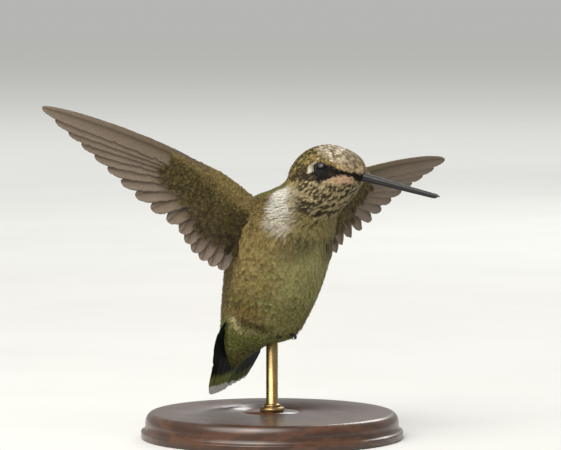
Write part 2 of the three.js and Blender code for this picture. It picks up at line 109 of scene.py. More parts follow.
BASE_RADIUS = 28.0
BASE_HEIGHT = 5.5
ROD_RADIUS = 1.25
ROD_TOP = 28.0

# Sections of the body from the tip of the tail coverts to the root of the bill: the back's
# and the belly's x and z, then half the width.
PROFILE = np.array([
    (-14.6, -22.0, -13.2, -22.8, 1.6),
    (-15.0, -19.8, -11.4, -21.3, 4.5),
    (-14.7, -17.0, -8.4, -19.5, 6.3),
    (-14.2, -14.2, -4.4, -17.5, 7.3),
    (-13.4, -11.4, 0.9, -16.2, 8.2),
    (-12.8, -8.2, 4.1, -13.4, 9.1),
    (-12.0, -4.2, 7.0, -9.0, 9.9),
    (-11.2, 0.4, 9.6, -3.8, 10.5),
    (-10.4, 4.8, 11.4, 1.2, 10.9),
    (-9.2, 8.8, 12.5, 5.2, 10.7),
    (-7.0, 12.2, 13.2, 7.6, 10.0),
    (-3.9, 14.8, 13.9, 9.5, 9.0),
    (0.4, 16.3, 14.8, 11.2, 7.9),
    (3.7, 18.1, 15.6, 12.4, 7.0),
    (4.7, 21.4, 16.4, 13.3, 6.2),
    (7.5, 24.4, 17.2, 14.1, 5.7),
    (11.7, 25.8, 17.9, 14.9, 5.4),
    (15.6, 25.2, 18.4, 15.6, 4.9),
    (18.6, 23.8, 18.9, 16.4, 4.0),
    (20.2, 22.0, 19.6, 17.4, 2.6),
    (20.7, 20.0, 20.5, 18.6, 0.9),
])
LAST_ROW = len(PROFILE) - 1

# The arm with its coverts: span, front edge, rear edge and thickness of each section.
ARM_STATIONS = np.array([
    (-3.5, -1.2, 8.6, 4.4),
    (0.0, -2.2, 8.6, 4.2),
    (4.0, -3.3, 8.0, 3.3),
    (8.5, -4.2, 6.2, 2.4),
    (13.0, -4.4, 3.6, 1.6),
    (18.0, -4.3, 0.6, 1.1),
])
ARM_LIFT = 0.3  # towards the wing's upper side

RNG = np.random.default_rng(7)


# -------- small mathematics
def smooth(low, high, value):
    """0 below low, 1 above high, and an even curve between."""
    share = np.clip((value - low) / (high - low), 0.0, 1.0)
    return share * share * (3.0 - 2.0 * share)


def between(a, b, share):
    """The value a share of the way from a to b."""
    return a * (1.0 - share) + b * share


def mix(a, b, share):
    """Colours a share of the way from a to b, with a share for each place."""
    return between(a, b, np.asarray(share)[..., None])


def curve_through(points, place):
    """The smooth curve through evenly numbered points, straight beyond its ends."""
    last = len(points) - 1
    step = np.clip(np.floor(place).astype(int), 0, last - 1)
    part = (place - step)[..., None]
    beyond = part - np.clip(part, 0.0, 1.0)
    part = part - beyond
    padded = np.vstack([2 * points[0] - points[1], points, 2 * points[-1] - points[-2]])
    before, start, end, after = (padded[step + number] for number in range(4))
    leave = 0.5 * (end - before)
    arrive = 0.5 * (after - start)
    value = (2 * part**3 - 3 * part**2 + 1) * start + (part**3 - 2 * part**2 + part) * leave
    value = value + (3 * part**2 - 2 * part**3) * end + (part**3 - part**2) * arrive
    return value + beyond * np.where(beyond < 0, leave, arrive)


def full_turn(count):
    """Evenly spaced angles, once round."""
    return np.linspace(0, 2 * math.pi, count + 1)[:-1]


def unit(vectors):
    """The vectors, each brought to a length of 1."""
    return vectors / np.maximum(np.linalg.norm(vectors, axis=-1, keepdims=True), 1e-9)


# -------- the bird's surfaces
def side_of(angle):
    """How many degrees round from the back an angle of the body lies, on either side."""
    return np.degrees(np.arccos(np.cos(angle)))


def turn_head(x, y, share):
    """Turns places about the neck to the left, by a share of the head's turn."""
    angle = HEAD_YAW * share
    ahead = x - NECK_PIVOT_X
    return (
        NECK_PIVOT_X + ahead * np.cos(angle) - y * np.sin(angle),
        ahead * np.sin(angle) + y * np.cos(angle),
    )


def body_surface(row, angle, out):
    """A point of the body. The angle is 0 on the back and a quarter turn on the left side."""
    row, angle, out = np.broadcast_arrays(row, angle, out)
    section = curve_through(PROFILE, row.astype(float))
    back_x, back_z, front_x, front_z, half = np.moveaxis(section, -1, 0)
    rise_x = (back_x - front_x) / 2
    rise_z = (back_z - front_z) / 2
    rise = np.maximum(np.hypot(rise_x, rise_z), 0.05)
    up = np.maximum(rise + out, 0.02) * np.cos(angle)
    left = np.maximum(half + out, 0.02) * np.sin(angle)
    with_tail = 1 - smooth(*ROLL_ROWS, row)
    roll = TAIL_ROLL * with_tail
    risen = (up * np.cos(roll) + left * np.sin(roll)) / rise
    x = (back_x + front_x) / 2 + rise_x * risen
    z = (back_z + front_z) / 2 + rise_z * risen
    y = left * np.cos(roll) - up * np.sin(roll) + TAIL_ROOT[1] * with_tail
    x, y = turn_head(x, y, smooth(*YAW_ROWS, row))
    return np.stack([x, y, z], axis=-1)


def head_point(forward, up, left):
    """A point given along, above and to the left of the head's own axis."""
    forward, up, left = np.broadcast_arrays(forward, up, left)
    x = HEAD_CENTRE[0] + forward * math.cos(HEAD_PITCH) + up * math.sin(HEAD_PITCH)
    z = HEAD_CENTRE[1] - forward * math.sin(HEAD_PITCH) + up * math.cos(HEAD_PITCH)
    x, y = turn_head(x, left, 1.0)
    return np.stack([x, y, z], axis=-1)


def in_head(points):
    """How far forward of and above the head's centre points lie, along its own axis."""
    ahead = points[..., 0] - NECK_PIVOT_X
    x = NECK_PIVOT_X + ahead * math.cos(HEAD_YAW) + points[..., 1] * math.sin(HEAD_YAW)
    along = x - HEAD_CENTRE[0]
    above = points[..., 2] - HEAD_CENTRE[1]
    forward = along * math.cos(HEAD_PITCH) - above * math.sin(HEAD_PITCH)
    up = along * math.sin(HEAD_PITCH) + above * math.cos(HEAD_PITCH)
    return forward, up


def wing_placer(wing):
    """Gives the function that places a point of one wing: along its span, along its chord
    from the shoulder line, and out of its underside."""
    side = wing["side"]
    swept = math.radians(wing["sweep"])
    raised = math.radians(wing["raise"])
    outward = np.array([-math.sin(swept), side * math.cos(swept), 0.0])
    upward = np.array([0.0, 0.0, 1.0])
    span_way = outward * math.cos(raised) + upward * math.sin(raised)
    chord_way = outward * math.sin(raised) - upward * math.cos(raised)
    face_way = np.array([math.cos(swept), side * math.sin(swept), 0.0])
    shoulder = np.array([SHOULDER[0], side * SHOULDER[1], SHOULDER[2]])

    def place(span, chord, out):
        span, chord, out = np.broadcast_arrays(span, chord, out)
        twist = WING_TWIST * smooth(WRIST[0], PRIMARY_LONGEST, span)
        reach = np.clip((span - WRIST[0]) / PRIMARY_LONGEST, 0.0, 1.2)
        below = chord - WRIST[1]
        down = WRIST[1] + below * np.cos(twist) + out * np.sin(twist)
        face = out * np.cos(twist) - below * np.sin(twist) - WING_BEND * reach**2
        point = shoulder + span[..., None] * span_way + down[..., None] * chord_way
        return point + face[..., None] * face_way

    return place


def arm_surface(place):
    """The surface of one arm. The turn is 0 on the front edge, a quarter on the underside."""
    def surface(station, turn, out):
        station, turn, out = np.broadcast_arrays(station, turn, out)
        section = curve_through(ARM_STATIONS, station.astype(float))
        span, lead, trail, thick = np.moveaxis(section, -1, 0)
        share = (1 - np.cos(turn)) / 2
        chord = between(lead - out, trail + out, share)
        half = np.maximum(thick / 2 * between(1.25, 0.5, share) + out, 0.03)
        return place(span, chord, np.sin(turn) * half - ARM_LIFT)

    return surface


def tail_place(along, left, out):
    """A point of the tail: along it, to the left across it, and out of its underside."""
    along, left, out = np.broadcast_arrays(along, left, out)
    out = out - TAIL_SINK * (1 - smooth(*SINK_REACH, along))
    along_way = np.array([-math.cos(TAIL_PITCH), 0.0, -math.sin(TAIL_PITCH)])
    under_way = np.array([math.sin(TAIL_PITCH), 0.0, -math.cos(TAIL_PITCH)])
    across = left * math.cos(TAIL_ROLL) + out * math.sin(TAIL_ROLL)
    under = out * math.cos(TAIL_ROLL) - left * math.sin(TAIL_ROLL)
    point = TAIL_ROOT + along[..., None] * along_way + under[..., None] * under_way
    return point + across[..., None] * np.array([0.0, 1.0, 0.0])


# -------- making meshes
def add_object(name, data):
    """A new object in the scene."""
    item = bpy.data.objects.new(name, data)
    bpy.context.scene.collection.objects.link(item)
    return item


def make_mesh(name, points, faces, colours=None, bake_map=None, detail_map=None):
    """A smooth mesh object from points in the bird's millimetres and triangles. The maps
    go by corner of each face or by point, the colours by point."""
    mesh = bpy.data.meshes.new(name)
    mesh.vertices.add(len(points))
    mesh.vertices.foreach_set("co", ((points + TRUNK) * MM).astype(np.float32).ravel())
    mesh.loops.add(faces.size)
    mesh.loops.foreach_set("vertex_index", faces.astype(np.int32).ravel())
    mesh.polygons.add(len(faces))
    mesh.polygons.foreach_set("loop_start", np.arange(0, faces.size, 3, dtype=np.int32))
    mesh.polygons.foreach_set("use_smooth", np.full(len(faces), True))
    for map_name, places in (("OFBake", bake_map), ("Detail", detail_map)):
        if places is not None:
            by_corner = places.reshape(-1, 2) if places.ndim == 3 else places[faces.ravel()]
            layer = mesh.uv_layers.new(name=map_name)
            layer.data.foreach_set("uv", by_corner.astype(np.float32).ravel())
    if colours is not None:
        paint = mesh.color_attributes.new("Coat", "FLOAT_COLOR", "POINT")
        rgba = np.ones((len(points), 4), dtype=np.float32)
        rgba[:, :3] = colours
        paint.data.foreach_set("color", rgba.ravel())
    mesh.update(calc_edges=True)
    return add_object(name, mesh)


def with_ends(grid):
    """The values of a grid of rings as one list, then the mean of the first and last ring."""
    ends = (grid[:1].mean(axis=1), grid[-1:].mean(axis=1))
    return np.concatenate([grid.reshape(-1, grid.shape[-1]), *ends])


def halves(corner):
    """The two triangles of each four-cornered cell, from lists of its corners in order."""
    return np.concatenate([np.stack(corner[:3], axis=1), np.stack([corner[0], *corner[2:]], axis=1)])


def closed_loft(rings):
    """Joins rings of points into one closed body with a fan over each end. Gives its points,
    its triangles, and for each triangle's corners the ring and the step around it."""
    count, around = rings.shape[:2]
    points = with_ends(rings)
    ring, step = (part.ravel() for part in np.mgrid[0:count - 1, 0:around])
    here = np.stack([ring, step], axis=-1)
    cells = halves([here + offset for offset in ((0, 0), (0, 1), (1, 1), (1, 0))])
    faces = cells[..., 0] * around + cells[..., 1] % around
    turn = np.arange(around)
    after = (turn + 1) % around
    for end, centre, order in ((0, count * around, [0, 1, 2]), (count - 1, count * around + 1, [0, 2, 1])):
        fan = np.stack([np.full(around, centre), end * around + after, end * around + turn], axis=-1)
        fan_cells = [np.stack([np.full(around, end), turn + part], axis=-1) for part in (0.5, 1, 0)]
        faces = np.concatenate([faces, fan[:, order]])
        cells = np.concatenate([cells, np.stack(fan_cells, axis=1)[:, order]])
    corners = points[faces]
    volume = np.einsum("ij,ij->i", corners[:, 0], np.cross(corners[:, 1], corners[:, 2])).sum()
    if volume < 0:
        faces = faces[:, ::-1]
        cells = cells[:, ::-1]
    return points, faces, cells


def inset(share):
    """A share of the bake map's side, kept clear of its border."""
    return 0.01 + 0.98 * share


def loft_mesh(name, rings, paint):
    """A closed mesh over rings of points, with a colour for each point and a square unwrap."""
    points, faces, cells = closed_loft(rings)
    count, around = rings.shape[:2]
    bake = np.stack([inset(cells[..., 1] / around), inset(cells[..., 0] / (count - 1))], axis=-1)
    return make_mesh(name, points, faces, with_ends(paint), bake)


def dress(piece, material, slot, *nodes):
    """Gives a piece its material, its body and the nodes it replaces. The slot is not used."""
    piece.data.materials.append(material)
    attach(piece, "root")
    if nodes:
        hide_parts(*nodes)


# -------- colours
def colour(code):
    """A linear colour from its usual six-figure code."""
    parts = np.array([int(code[start:start + 2], 16) for start in (0, 2, 4)]) / 255
    return np.where(parts <= 0.04045, parts / 12.92, ((parts + 0.055) / 1.055) ** 2.4)


CROWN_PALE = colour("9f9177")
# painted highlight for the middle of the crown
CROWN_PAINTED_HIGHLIGHT = colour("ece4d2")
FOREHEAD_BUFF = colour("c8af8c")
CROWN_FRECKLE = colour("574836")
NAPE_DARK = colour("261e14")
NAPE_BUFF = colour("9c8855")
NAPE_OLIVE = colour("645c30")
BROW_BUFF = colour("a38550")
BROW_OLIVE = colour("6b5a30")
LORE_BLACK = colour("120e0b")
CHEEK_DARK = colour("291f18")
EYE_SPOT_WHITE = colour("cac4aa")
MALAR_BUFF = colour("b8967a")
THROAT_BUFF = colour("9a8b67")
THROAT_SPOT = colour("1e170f")
RUFF_WHITE = colour("d6d2c7")
BREAST_GREY = colour("7a724a")
# painted shade for a darker patch low on the breast
BREAST_PAINTED_SHADE = colour("4a4430")
FLANK_BROWN = colour("6a5932")
FLANK_BUFF = colour("9f8957")
FLANK_DARK = colour("35291b")
BELLY_OLIVE = colour("656334")
BELLY_PALE = colour("9d9765")
VENT_BUFF = colour("b0a67a")
RUST_PATCH = colour("6b4a25")
COVERT_OLIVE = colour("696e2b")
COVERT_EDGE = colour("a8a868")
BACK_GREEN = colour("3f5a24")
BACK_BRONZE = colour("6b6428")
BACK_EDGE = colour("a08d5c")
UNDERWING_DARK = colour("2f2818")
UNDERWING_EDGE = colour("72643c")
UPPERWING_GREEN = colour("43552a")
REMEX_DARK = colour("594d3a")
REMEX_BROWN = colour("665648")
# painted light showing through the thin vanes of the flight feathers
REMEX_PAINTED_TRANSLUCENCE = colour("86776a")
REMEX_UPPER = colour("40363a")
REMEX_SHAFT = colour("2a211c")
TAIL_BLACK = colour("080b0a")
# painted sheen on the black ends of the tail feathers
TAIL_OLIVE_SHEEN = colour("878c4f")
TAIL_GREEN = colour("26402a")
TAIL_WHITE = colour("ffffff")


# -------- markings
def patches(points, size, seed):
    """Soft patches from about -1 to 1, size millimetres across, the same on every run."""
    random = np.random.default_rng(seed)
    total = np.zeros(points.shape[:-1])
    for _ in range(6):
        way = unit(random.normal(size=3)) * random.uniform(0.7, 1.4) / size
        total += np.sin(points @ way * math.pi + random.uniform(0, 2 * math.pi))
    return total / 2.6


def blob(x, y, middle, reach):
    """1 in the middle of a soft spot, fading evenly to 0 around it."""
    return np.exp(-(((x - middle[0]) / reach[0]) ** 2) - ((y - middle[1]) / reach[1]) ** 2)


def oval(row, side, middle, reach, softness=0.4):
    """1 inside an oval of rows and sides, fading to 0 over its border."""
    away = np.hypot((row - middle[0]) / reach[0], (side - middle[1]) / reach[1])
    return 1 - smooth(1 - softness, 1 + softness, away)


def band(points, start, end, reaches, softness):
    """1 near the line between two places (row and side) on both flanks, fading to 0 at a
    reach in millimetres that changes from the line's start to its end."""
    strength = np.zeros(points.shape[:-1])
    for way in (1, -1):
        first, last = (body_surface(row, way * math.radians(side), 0.0) for row, side in (start, end))
        step = last - first
        share = np.clip((points - first) @ step / (step @ step), 0, 1)
        away = np.linalg.norm(points - first - share[..., None] * step, axis=-1)
        away = away / between(*reaches, share)
        strength = np.maximum(strength, 1 - smooth(1 - softness, 1 + softness, away))
    return strength


class Places:
    """Places on the body, and what its markings go by: how far round from the back and how
    far forward and up in the head they lie, uneven patches, and two chances from 0 to 1
    that let neighbouring feathers differ."""

    def __init__(self, points, row, angle, chance):
        self.points, self.row, self.side = points, row, side_of(angle)
        self.forward, self.up = in_head(points)
        self.first, self.second = chance[..., 0], chance[..., 1]
        self.close = patches(points, 2.2, 12)
        self.spots = patches(points, 0.45, 16) + 0.8 * (self.second - 0.5)


class Plumage:
    """The main and edge colours of feathers, and how strong their dark centres are."""

    def __init__(self, main, edge):
        self.main, self.edge, self.centres = main, edge, 0.0

    def tint(self, share, main, edge=None, edge_share=None):
        """Moves both colours a share of the way to others, or to the same one."""
        self.main = mix(self.main, main, share)
        edge_share = share if edge_share is None else edge_share
        self.edge = mix(self.edge, main if edge is None else edge, edge_share)

    def cover(self, share, main, edge=None, centres=0.0):
        """Tints the feathers, and moves their dark centres by the same share."""
        self.tint(share, main, edge)
        self.centres = between(self.centres, centres, share)

    def freckle(self, share, pale, freckle, main_freckles, edge_freckles, edge_share=None):
        """Tints the feathers pale, their edges palest, with freckles in both."""
        edge = mix(pale * 1.15, freckle, edge_freckles)
        self.tint(share, mix(pale, freckle, main_freckles), edge, edge_share)


def belly_plumage(at):
    """The belly and breast, with a pale middle and a darker patch of painted shade low on the breast."""
    pale = 0.7 * oval(at.row, at.side, (7.7, 166), (1.3, 32), 0.6) + 0.2 * patches(at.points, 5.0, 11)
    main = mix(BELLY_OLIVE, BELLY_PALE, np.clip(pale, 0, 1))
    coat = Plumage(main, mix(BELLY_PALE * 0.9, BELLY_PALE * 1.15, at.first))
    coat.tint(smooth(8.2, 9.6, at.row), BREAST_GREY, mix(BREAST_GREY, FLANK_BUFF, 0.3 + 0.4 * at.first))
    # Painted shade: a darker oval low on the breast, in both the main and the edge colours.
    breast_shade_patch = oval(at.row, at.side, (8.75, 148), (0.75, 26), 0.6)
    coat.tint(0.95 * breast_shade_patch, BREAST_PAINTED_SHADE, BREAST_GREY * 0.8, 0.85 * breast_shade_patch)
    return coat


def paint_flanks(coat, at):
    """The flanks, and the brown border of the back up to the shoulder."""
    flank = (1 - smooth(100, 158, at.side + 8 * at.close + 14 * at.spots)) * smooth(4.8, 5.6, at.row)
    streaks = smooth(-0.2, 0.6, patches(at.points, 1.3, 15))
    low = flank * (1 - smooth(5.4, 7.4, at.row))
    brown = mix(FLANK_BROWN, FLANK_BUFF, 0.55 * at.second)
    coat.tint(flank, brown, FLANK_BUFF, flank * (1 - 0.5 * streaks))
    coat.main = mix(coat.main, FLANK_BROWN * 0.75, 0.5 * flank * streaks)
    coat.tint(0.7 * low, COVERT_OLIVE * 0.8, FLANK_BROWN * 0.8)
    coat.centres = (0.4 * flank + 0.3 * low) * (at.first > 0.6)
    border = 1 - smooth(70, 86, at.side + 5 * at.close)
    border = border * smooth(3.6, 5.0, at.row) * (1 - smooth(12.6, 13.2, at.row))
    coat.tint(border, mix(FLANK_BROWN * 0.6, NAPE_OLIVE * 0.8, at.first), FLANK_BUFF * 0.85)
    coat.centres = np.maximum(coat.centres, 0.7 * border * (at.second > 0.4))


def paint_vent(coat, at):
    """The tail coverts, a rusty patch and a dark band of painted shade in the fold above them, and pale
    tufts.
    """
    rust = oval(at.row, at.side, (5.3, 110), (0.45, 26), 0.7)
    coat.tint(0.5 * rust, RUST_PATCH, RUST_PATCH * 1.3, 0.2 * rust)
    # Painted shade: a dark band in the fold along both flanks.
    fold_shade = band(at.points, (5.05, 106), (4.85, 142), (0.7, 0.8), 0.6)
    coat.tint(0.8 * fold_shade, FLANK_DARK, FLANK_BROWN * 0.7)
    olive = mix(COVERT_OLIVE, COVERT_OLIVE * 0.6, at.second)
    coat.cover(1 - smooth(4.0, 4.7, at.row), olive, COVERT_EDGE, 0.55 * (at.first > 0.3))
    tufts = band(at.points, (4.8, 90), (4.3, 103), (0.7, 1.1), 0.4)
    tufts = tufts + 0.4 * band(at.points, (4.25, 108), (4.45, 140), (1.0, 0.9), 0.5)
    tufts = np.clip(tufts, 0, 1) * smooth(-0.9, 0.3, patches(at.points, 1.5, 17))
    coat.cover(tufts, VENT_BUFF, VENT_BUFF * 1.1)


SPOT_PERIOD = 1.65  # from one dark spot of the throat to the next, along it and around it
THROAT_RADIUS = 6.5  # turns places around the throat into millimetres


def staggered_spots(at):
    """From 1 in the middle of each of the throat's dark spots to -1 between them, in uneven
    staggered lines."""
    along = at.forward / SPOT_PERIOD + 0.2 * patches(at.points, 1.4, 21)
    around = np.radians(at.side) * THROAT_RADIUS / SPOT_PERIOD + 0.2 * patches(at.points, 1.4, 22)
    return (np.cos(2 * math.pi * (along + around)) + np.cos(2 * math.pi * (along - around))) / 2


def paint_throat(coat, at):
    """The throat, with dark spots that are thickest low down, on the chin and below the ear."""
    border = between(100, 72, smooth(11.8, 12.8, at.row))
    throat = smooth(11.2, 11.9, at.row + 0.3 * at.close) * smooth(-7, 7, at.side - border + 6 * at.close)
    low = oval(at.row, at.side, (12.5, 128), (0.9, 22), 0.5)
    low = low - 0.5 * oval(at.row, at.side, (12.6, 92), (1.2, 18), 0.5)
    chin = smooth(5.2, 6.6, at.forward)
    below_ear = blob(at.forward, at.up, (-2.2, -3.6), (2.0, 0.9))
    spotted = staggered_spots(at) + 0.5 * (at.second - 0.5)
    spotted = smooth(0.02, 0.37, spotted + 0.5 * low + 0.2 * chin + 0.5 * below_ear)
    main = mix(THROAT_BUFF, THROAT_SPOT, 0.95 * spotted)
    edge = mix(THROAT_BUFF * 1.1, THROAT_SPOT, 0.85 * spotted)
    coat.cover(throat, main, edge, 0.35 * (1 - spotted) * (at.first > 0.6))


def paint_ruff(coat, at):
    """The white ruff at the side of the neck, in a pale border. Gives how white it is."""
    ragged = 1 + 0.12 * patches(at.points, 1.2, 18)
    ruff = band(at.points, (12.45, 66), (10.8, 111), (1.9 * ragged, 2.5 * ragged), 0.4)
    trail = band(at.points, (10.8, 111), (9.8, 124), (2.6 * ragged, 2.0 * ragged), 0.6)
    border = band(at.points, (12.45, 72), (10.8, 116), (3.2, 3.4), 0.4)
    coat.tint(0.6 * border, THROAT_BUFF * 1.35, RUFF_WHITE * 0.65, 0.65 * border)
    white = np.clip(ruff * between(0.15, 1.0, smooth(10.2, 12.2, at.row)) + 0.3 * trail, 0, 1)
    coat.cover(white, RUFF_WHITE)
    return white


def paint_back(coat, at):
    """The green back, with bronze and buff edges."""
    back = (1 - smooth(40, 56, at.side + 5 * at.close)) * (1 - smooth(13.0, 13.9, at.row))
    edge = mix(BACK_EDGE, BACK_BRONZE, 0.2 + 0.7 * at.second)
    coat.cover(back, mix(BACK_GREEN, BACK_BRONZE, at.first), edge, 0.45 * (at.first > 0.45))


# Lines across the side of the head, as how far up they are at steps forward.
MALAR_TOP = ((-7.0, -2.0, 1.8, 3.7, 5.1, 6.8, 7.3, 8.2), (-4.9, -3.4, -2.0, -0.8, -0.2, 0.0, -0.4, -1.1))
LORE_TOP = ((0.8, 2.2, 3.5, 5.5, 7.2, 8.5), (1.4, 1.35, 1.05, 0.85, 0.8, 0.7))
BROW_LINE = ((-3.4, -2.0, 1.1, 3.5, 5.5), (1.3, 1.85, 1.8, 1.45, 1.15))
EYE_SEEN = (0.45, 0.1)  # where the eye's middle shows on the side of the head


def hood_plumage(at):
    """The nape, crown and brow: dark, olive and buff scales, dusted pale over the crown, with a painted
    highlight on its middle.
    """
    spots = 0.7 * patches(at.points, 0.4, 13) + 1.5 * (at.first - 0.5)
    flecks = 0.6 * patches(at.points, 0.45, 14) + 1.5 * (at.second - 0.5)
    dark = smooth(-0.2, 0.25, spots + 0.15)
    main = mix(NAPE_OLIVE, NAPE_BUFF, smooth(-0.1, 0.5, flecks))
    hood = Plumage(main, mix(NAPE_BUFF, NAPE_OLIVE, smooth(-0.2, 0.6, flecks)))
    hood.tint(0.95 * dark, NAPE_DARK, NAPE_DARK, 0.75 * dark)
    dusted = smooth(1.6, 3.3, at.up + 0.6 * at.close + 0.4 * flecks)
    dusted = dusted * smooth(-3.4, 0.8, at.forward + at.close)
    hood.freckle(dusted, CROWN_PALE, CROWN_FRECKLE, 0.9 * dark, 0.5 * dark)
    # A painted highlight: the pale flecks of the dusted crown, short of the forehead, are brightened.
    painted_highlight = dusted * smooth(0.0, 0.5, flecks) * (1 - smooth(2.6, 5.2, at.forward))
    hood.tint(0.65 * painted_highlight, CROWN_PAINTED_HIGHLIGHT)
    front = smooth(2.0, 4.4, at.forward + 0.7 * at.close) * smooth(0.5, 1.0, at.up) * (1 - dusted)
    hood.freckle(0.85 * front, FOREHEAD_BUFF, CROWN_FRECKLE, 0.8 * dark, 0.4 * dark)
    brow = np.exp(-(((at.up - np.interp(at.forward, *BROW_LINE)) / 0.42) ** 2))
    brow = brow * smooth(-3.6, -2.2, at.forward) * (1 - smooth(4.6, 6.2, at.forward))
    hood.freckle(0.8 * brow, BROW_BUFF, BROW_OLIVE, 0.9 * dark, 0.6 * dark, 0.65 * brow)
    return hood


def paint_head(coat, at):
    """The hood, the cheek, the lores and the pale stripe back from the bill."""
    line = at.up - np.interp(at.forward, *MALAR_TOP)
    above = smooth(-0.25, 0.25, line + 0.3 * at.close * (at.forward < 0.5))
    above = above * smooth(12.8, 13.3, at.row + 0.2 * at.close)
    hood = hood_plumage(at)
    coat.cover(above, hood.main, hood.edge)
    lore = smooth(0.0, 0.7, at.forward) * smooth(-0.15, 0.15, np.interp(at.forward, *LORE_TOP) - at.up)
    lore = lore * smooth(-0.12, 0.12, line) * (at.row > 14)
    cheek = blob(at.forward, at.up, (-0.6, -2.0), (2.8, 1.3)) * above * (1 - lore)
    cheek = np.clip(2.2 * cheek, 0, 0.95)
    cheek_edge = cheek * between(0.65, 1.0, at.first < 0.7)
    coat.tint(cheek * between(0.85, 1.0, at.second < 0.75), CHEEK_DARK, CHEEK_DARK * 1.3, cheek_edge)
    olive = blob(at.forward, at.up, (3.0, -0.5), (0.7, 0.45))
    soot = mix(LORE_BLACK, BROW_OLIVE * 0.5, 0.45 * olive)
    coat.tint(lore, soot, soot * 1.5)
    stripe = smooth(-0.15, 0.2, -line) * (1 - smooth(1.1, 1.7, 0.3 * at.close - line))
    stripe = stripe * smooth(0.4, 2.4, at.forward + 0.5 * at.spots)
    stripe = stripe * (1 - smooth(6.9, 7.7, at.forward + 0.3 * at.spots))
    warm = smooth(1.0, 4.2, at.forward + at.spots) * between(0.75, 1.0, at.second)
    malar = mix(THROAT_BUFF * 1.35, MALAR_BUFF, warm)
    coat.cover(stripe, malar, malar * 1.12)


def paint_crescent(coat, at):
    """The white crescent behind the eye."""
    behind, above = EYE_SEEN[0] - at.forward, at.up - EYE_SEEN[1]
    bearing = np.degrees(np.arctan2(above, behind))
    rim = between(1.84, 2.15, smooth(52, -10, bearing))
    crescent = smooth(56, 42, bearing) * smooth(-36, -22, bearing)
    crescent = crescent * (1 - smooth(-0.15, 0.15, np.hypot(behind, above) - rim))
    crescent = crescent * (behind > 0) * (at.row > 13)
    coat.tint(crescent, EYE_SPOT_WHITE, EYE_SPOT_WHITE * 1.05)


def markings(points, row, angle, chance):
    """The plumage at places on the body: its main colour, its edge's colour, the colour of a
    dark centre and how strong that is."""
    at = Places(points, row, angle, chance)
    coat = belly_plumage(at)
    paint_flanks(coat, at)
    paint_vent(coat, at)
    paint_throat(coat, at)
    white = paint_ruff(coat, at)
    paint_back(coat, at)
    paint_head(coat, at)
    coat.main = coat.main * (between(0.84, 1.16, at.second) ** (1 - white))[..., None]
    paint_crescent(coat, at)
    dark = mix(FLANK_DARK, THROAT_SPOT, np.full(row.shape, 0.2))
    return coat.main, coat.edge, dark, np.clip(coat.centres, 0, 1)


# -------- where feathers grow
CLEAR_SHARE = 0.8  # of its spacing around each root stays free of others
SHORTEST_STEP = 0.12  # where a surface closes at its ends


def coat_depth(row):
    """How far the skin lies inside the outline."""
    depth = between(0.95, 0.34, smooth(11.5, 14.5, row))
    depth = between(depth, 0.12, smooth(18.6, 20.0, row))
    return between(0.3, depth, smooth(0.0, 1.6, row))


def steps_of(surface, first, second):
    """How many millimetres one unit of each coordinate goes at a place on a surface."""
    small = 0.02
    along = surface(first + small, second, 0.0) - surface(first - small, second, 0.0)
    across = surface(first, second + small, 0.0) - surface(first, second - small, 0.0)
    lengths = (np.linalg.norm(step, axis=-1) / (2 * small) for step in (along, across))
    return [np.maximum(length, SHORTEST_STEP) for length in lengths]


def scatter(surface, first_range, second_range, spacing, tries):
    """Roots spread evenly but not in rows, about their spacing apart. Gives the surface's two
    coordinates of each root, and its spacing."""
    first = RNG.uniform(*first_range, tries)
    second = RNG.uniform(*second_range, tries)
    gap = spacing(first, second)
    along, across = steps_of(surface, first, second)
    density = along * across / gap**2
    picked = RNG.random(tries) < density / np.quantile(density, 0.98)
    first, second, gap = first[picked], second[picked], gap[picked]
    points = surface(first, second, 0.0)
    tree = KDTree(len(points))
    for index, point in enumerate(points):
        tree.insert(point, index)
    tree.balance()
    crowded = np.zeros(len(points), dtype=bool)
    roots = []
    for index, point in enumerate(points):
        if not crowded[index]:
            roots.append(index)
            for _, other, _ in tree.find_range(point, gap[index] * CLEAR_SHARE):
                crowded[other] = True
    return first[roots], second[roots], gap[roots]


# -------- small feathers
def plume_shape(barbs):
    """One small feather laid flat: a narrow sheet under a fan of slender barbs on each side
    of its shaft. Gives each point's place along (0 root, 1 tip) and across (-1 to 1), its
    barb, how free it is (0 on the shaft, 1 at a barb's tip), and the triangles."""
    def outline(along):
        return np.sqrt(np.clip(1 - ((along - 0.5) / 0.57) ** 2, 0, 1))

    places = []
    faces = []
    half = 0.44 / barbs
    barb = 0
    for number in range(barbs):
        start = 0.1 + 0.78 * number / (barbs - 1)
        end = start + 0.33 - 0.17 * start
        middle = start + 0.52 * (end - start)
        for side in (-1, 1):
            first = len(places)
            wide = side * outline(end)
            places += [(start - half, 0, barb, 0.0), (start + half, 0, barb, 0.0)]
            places += [(middle - half, 0.62 * wide, barb, 0.5), (middle + half, 0.62 * wide, barb, 0.5)]
            places += [(end, wide, barb, 1.0)]
            for corners in ((0, 1, 3), (0, 3, 2), (2, 3, 4)):
                faces.append([first + corner for corner in corners])
            barb += 1
    first = len(places)
    places += [(0.78, -0.12, barb, 0.0), (0.78, 0.12, barb, 0.0), (1.08, 0.0, barb, 1.0)]
    faces += [(first, first + 1, first + 2)]
    barb += 1
    first = len(places)
    for along, wide in ((0.0, 0.12), (0.35, 0.6), (0.7, 0.66), (0.93, 0.36)):
        places += [(along, -wide, barb, -1.0), (along, wide, barb, -1.0)]
    for step in range(3):
        here = first + 2 * step
        faces += [(here, here + 1, here + 3), (here, here + 3, here + 2)]
    return np.array(places), np.array(faces)


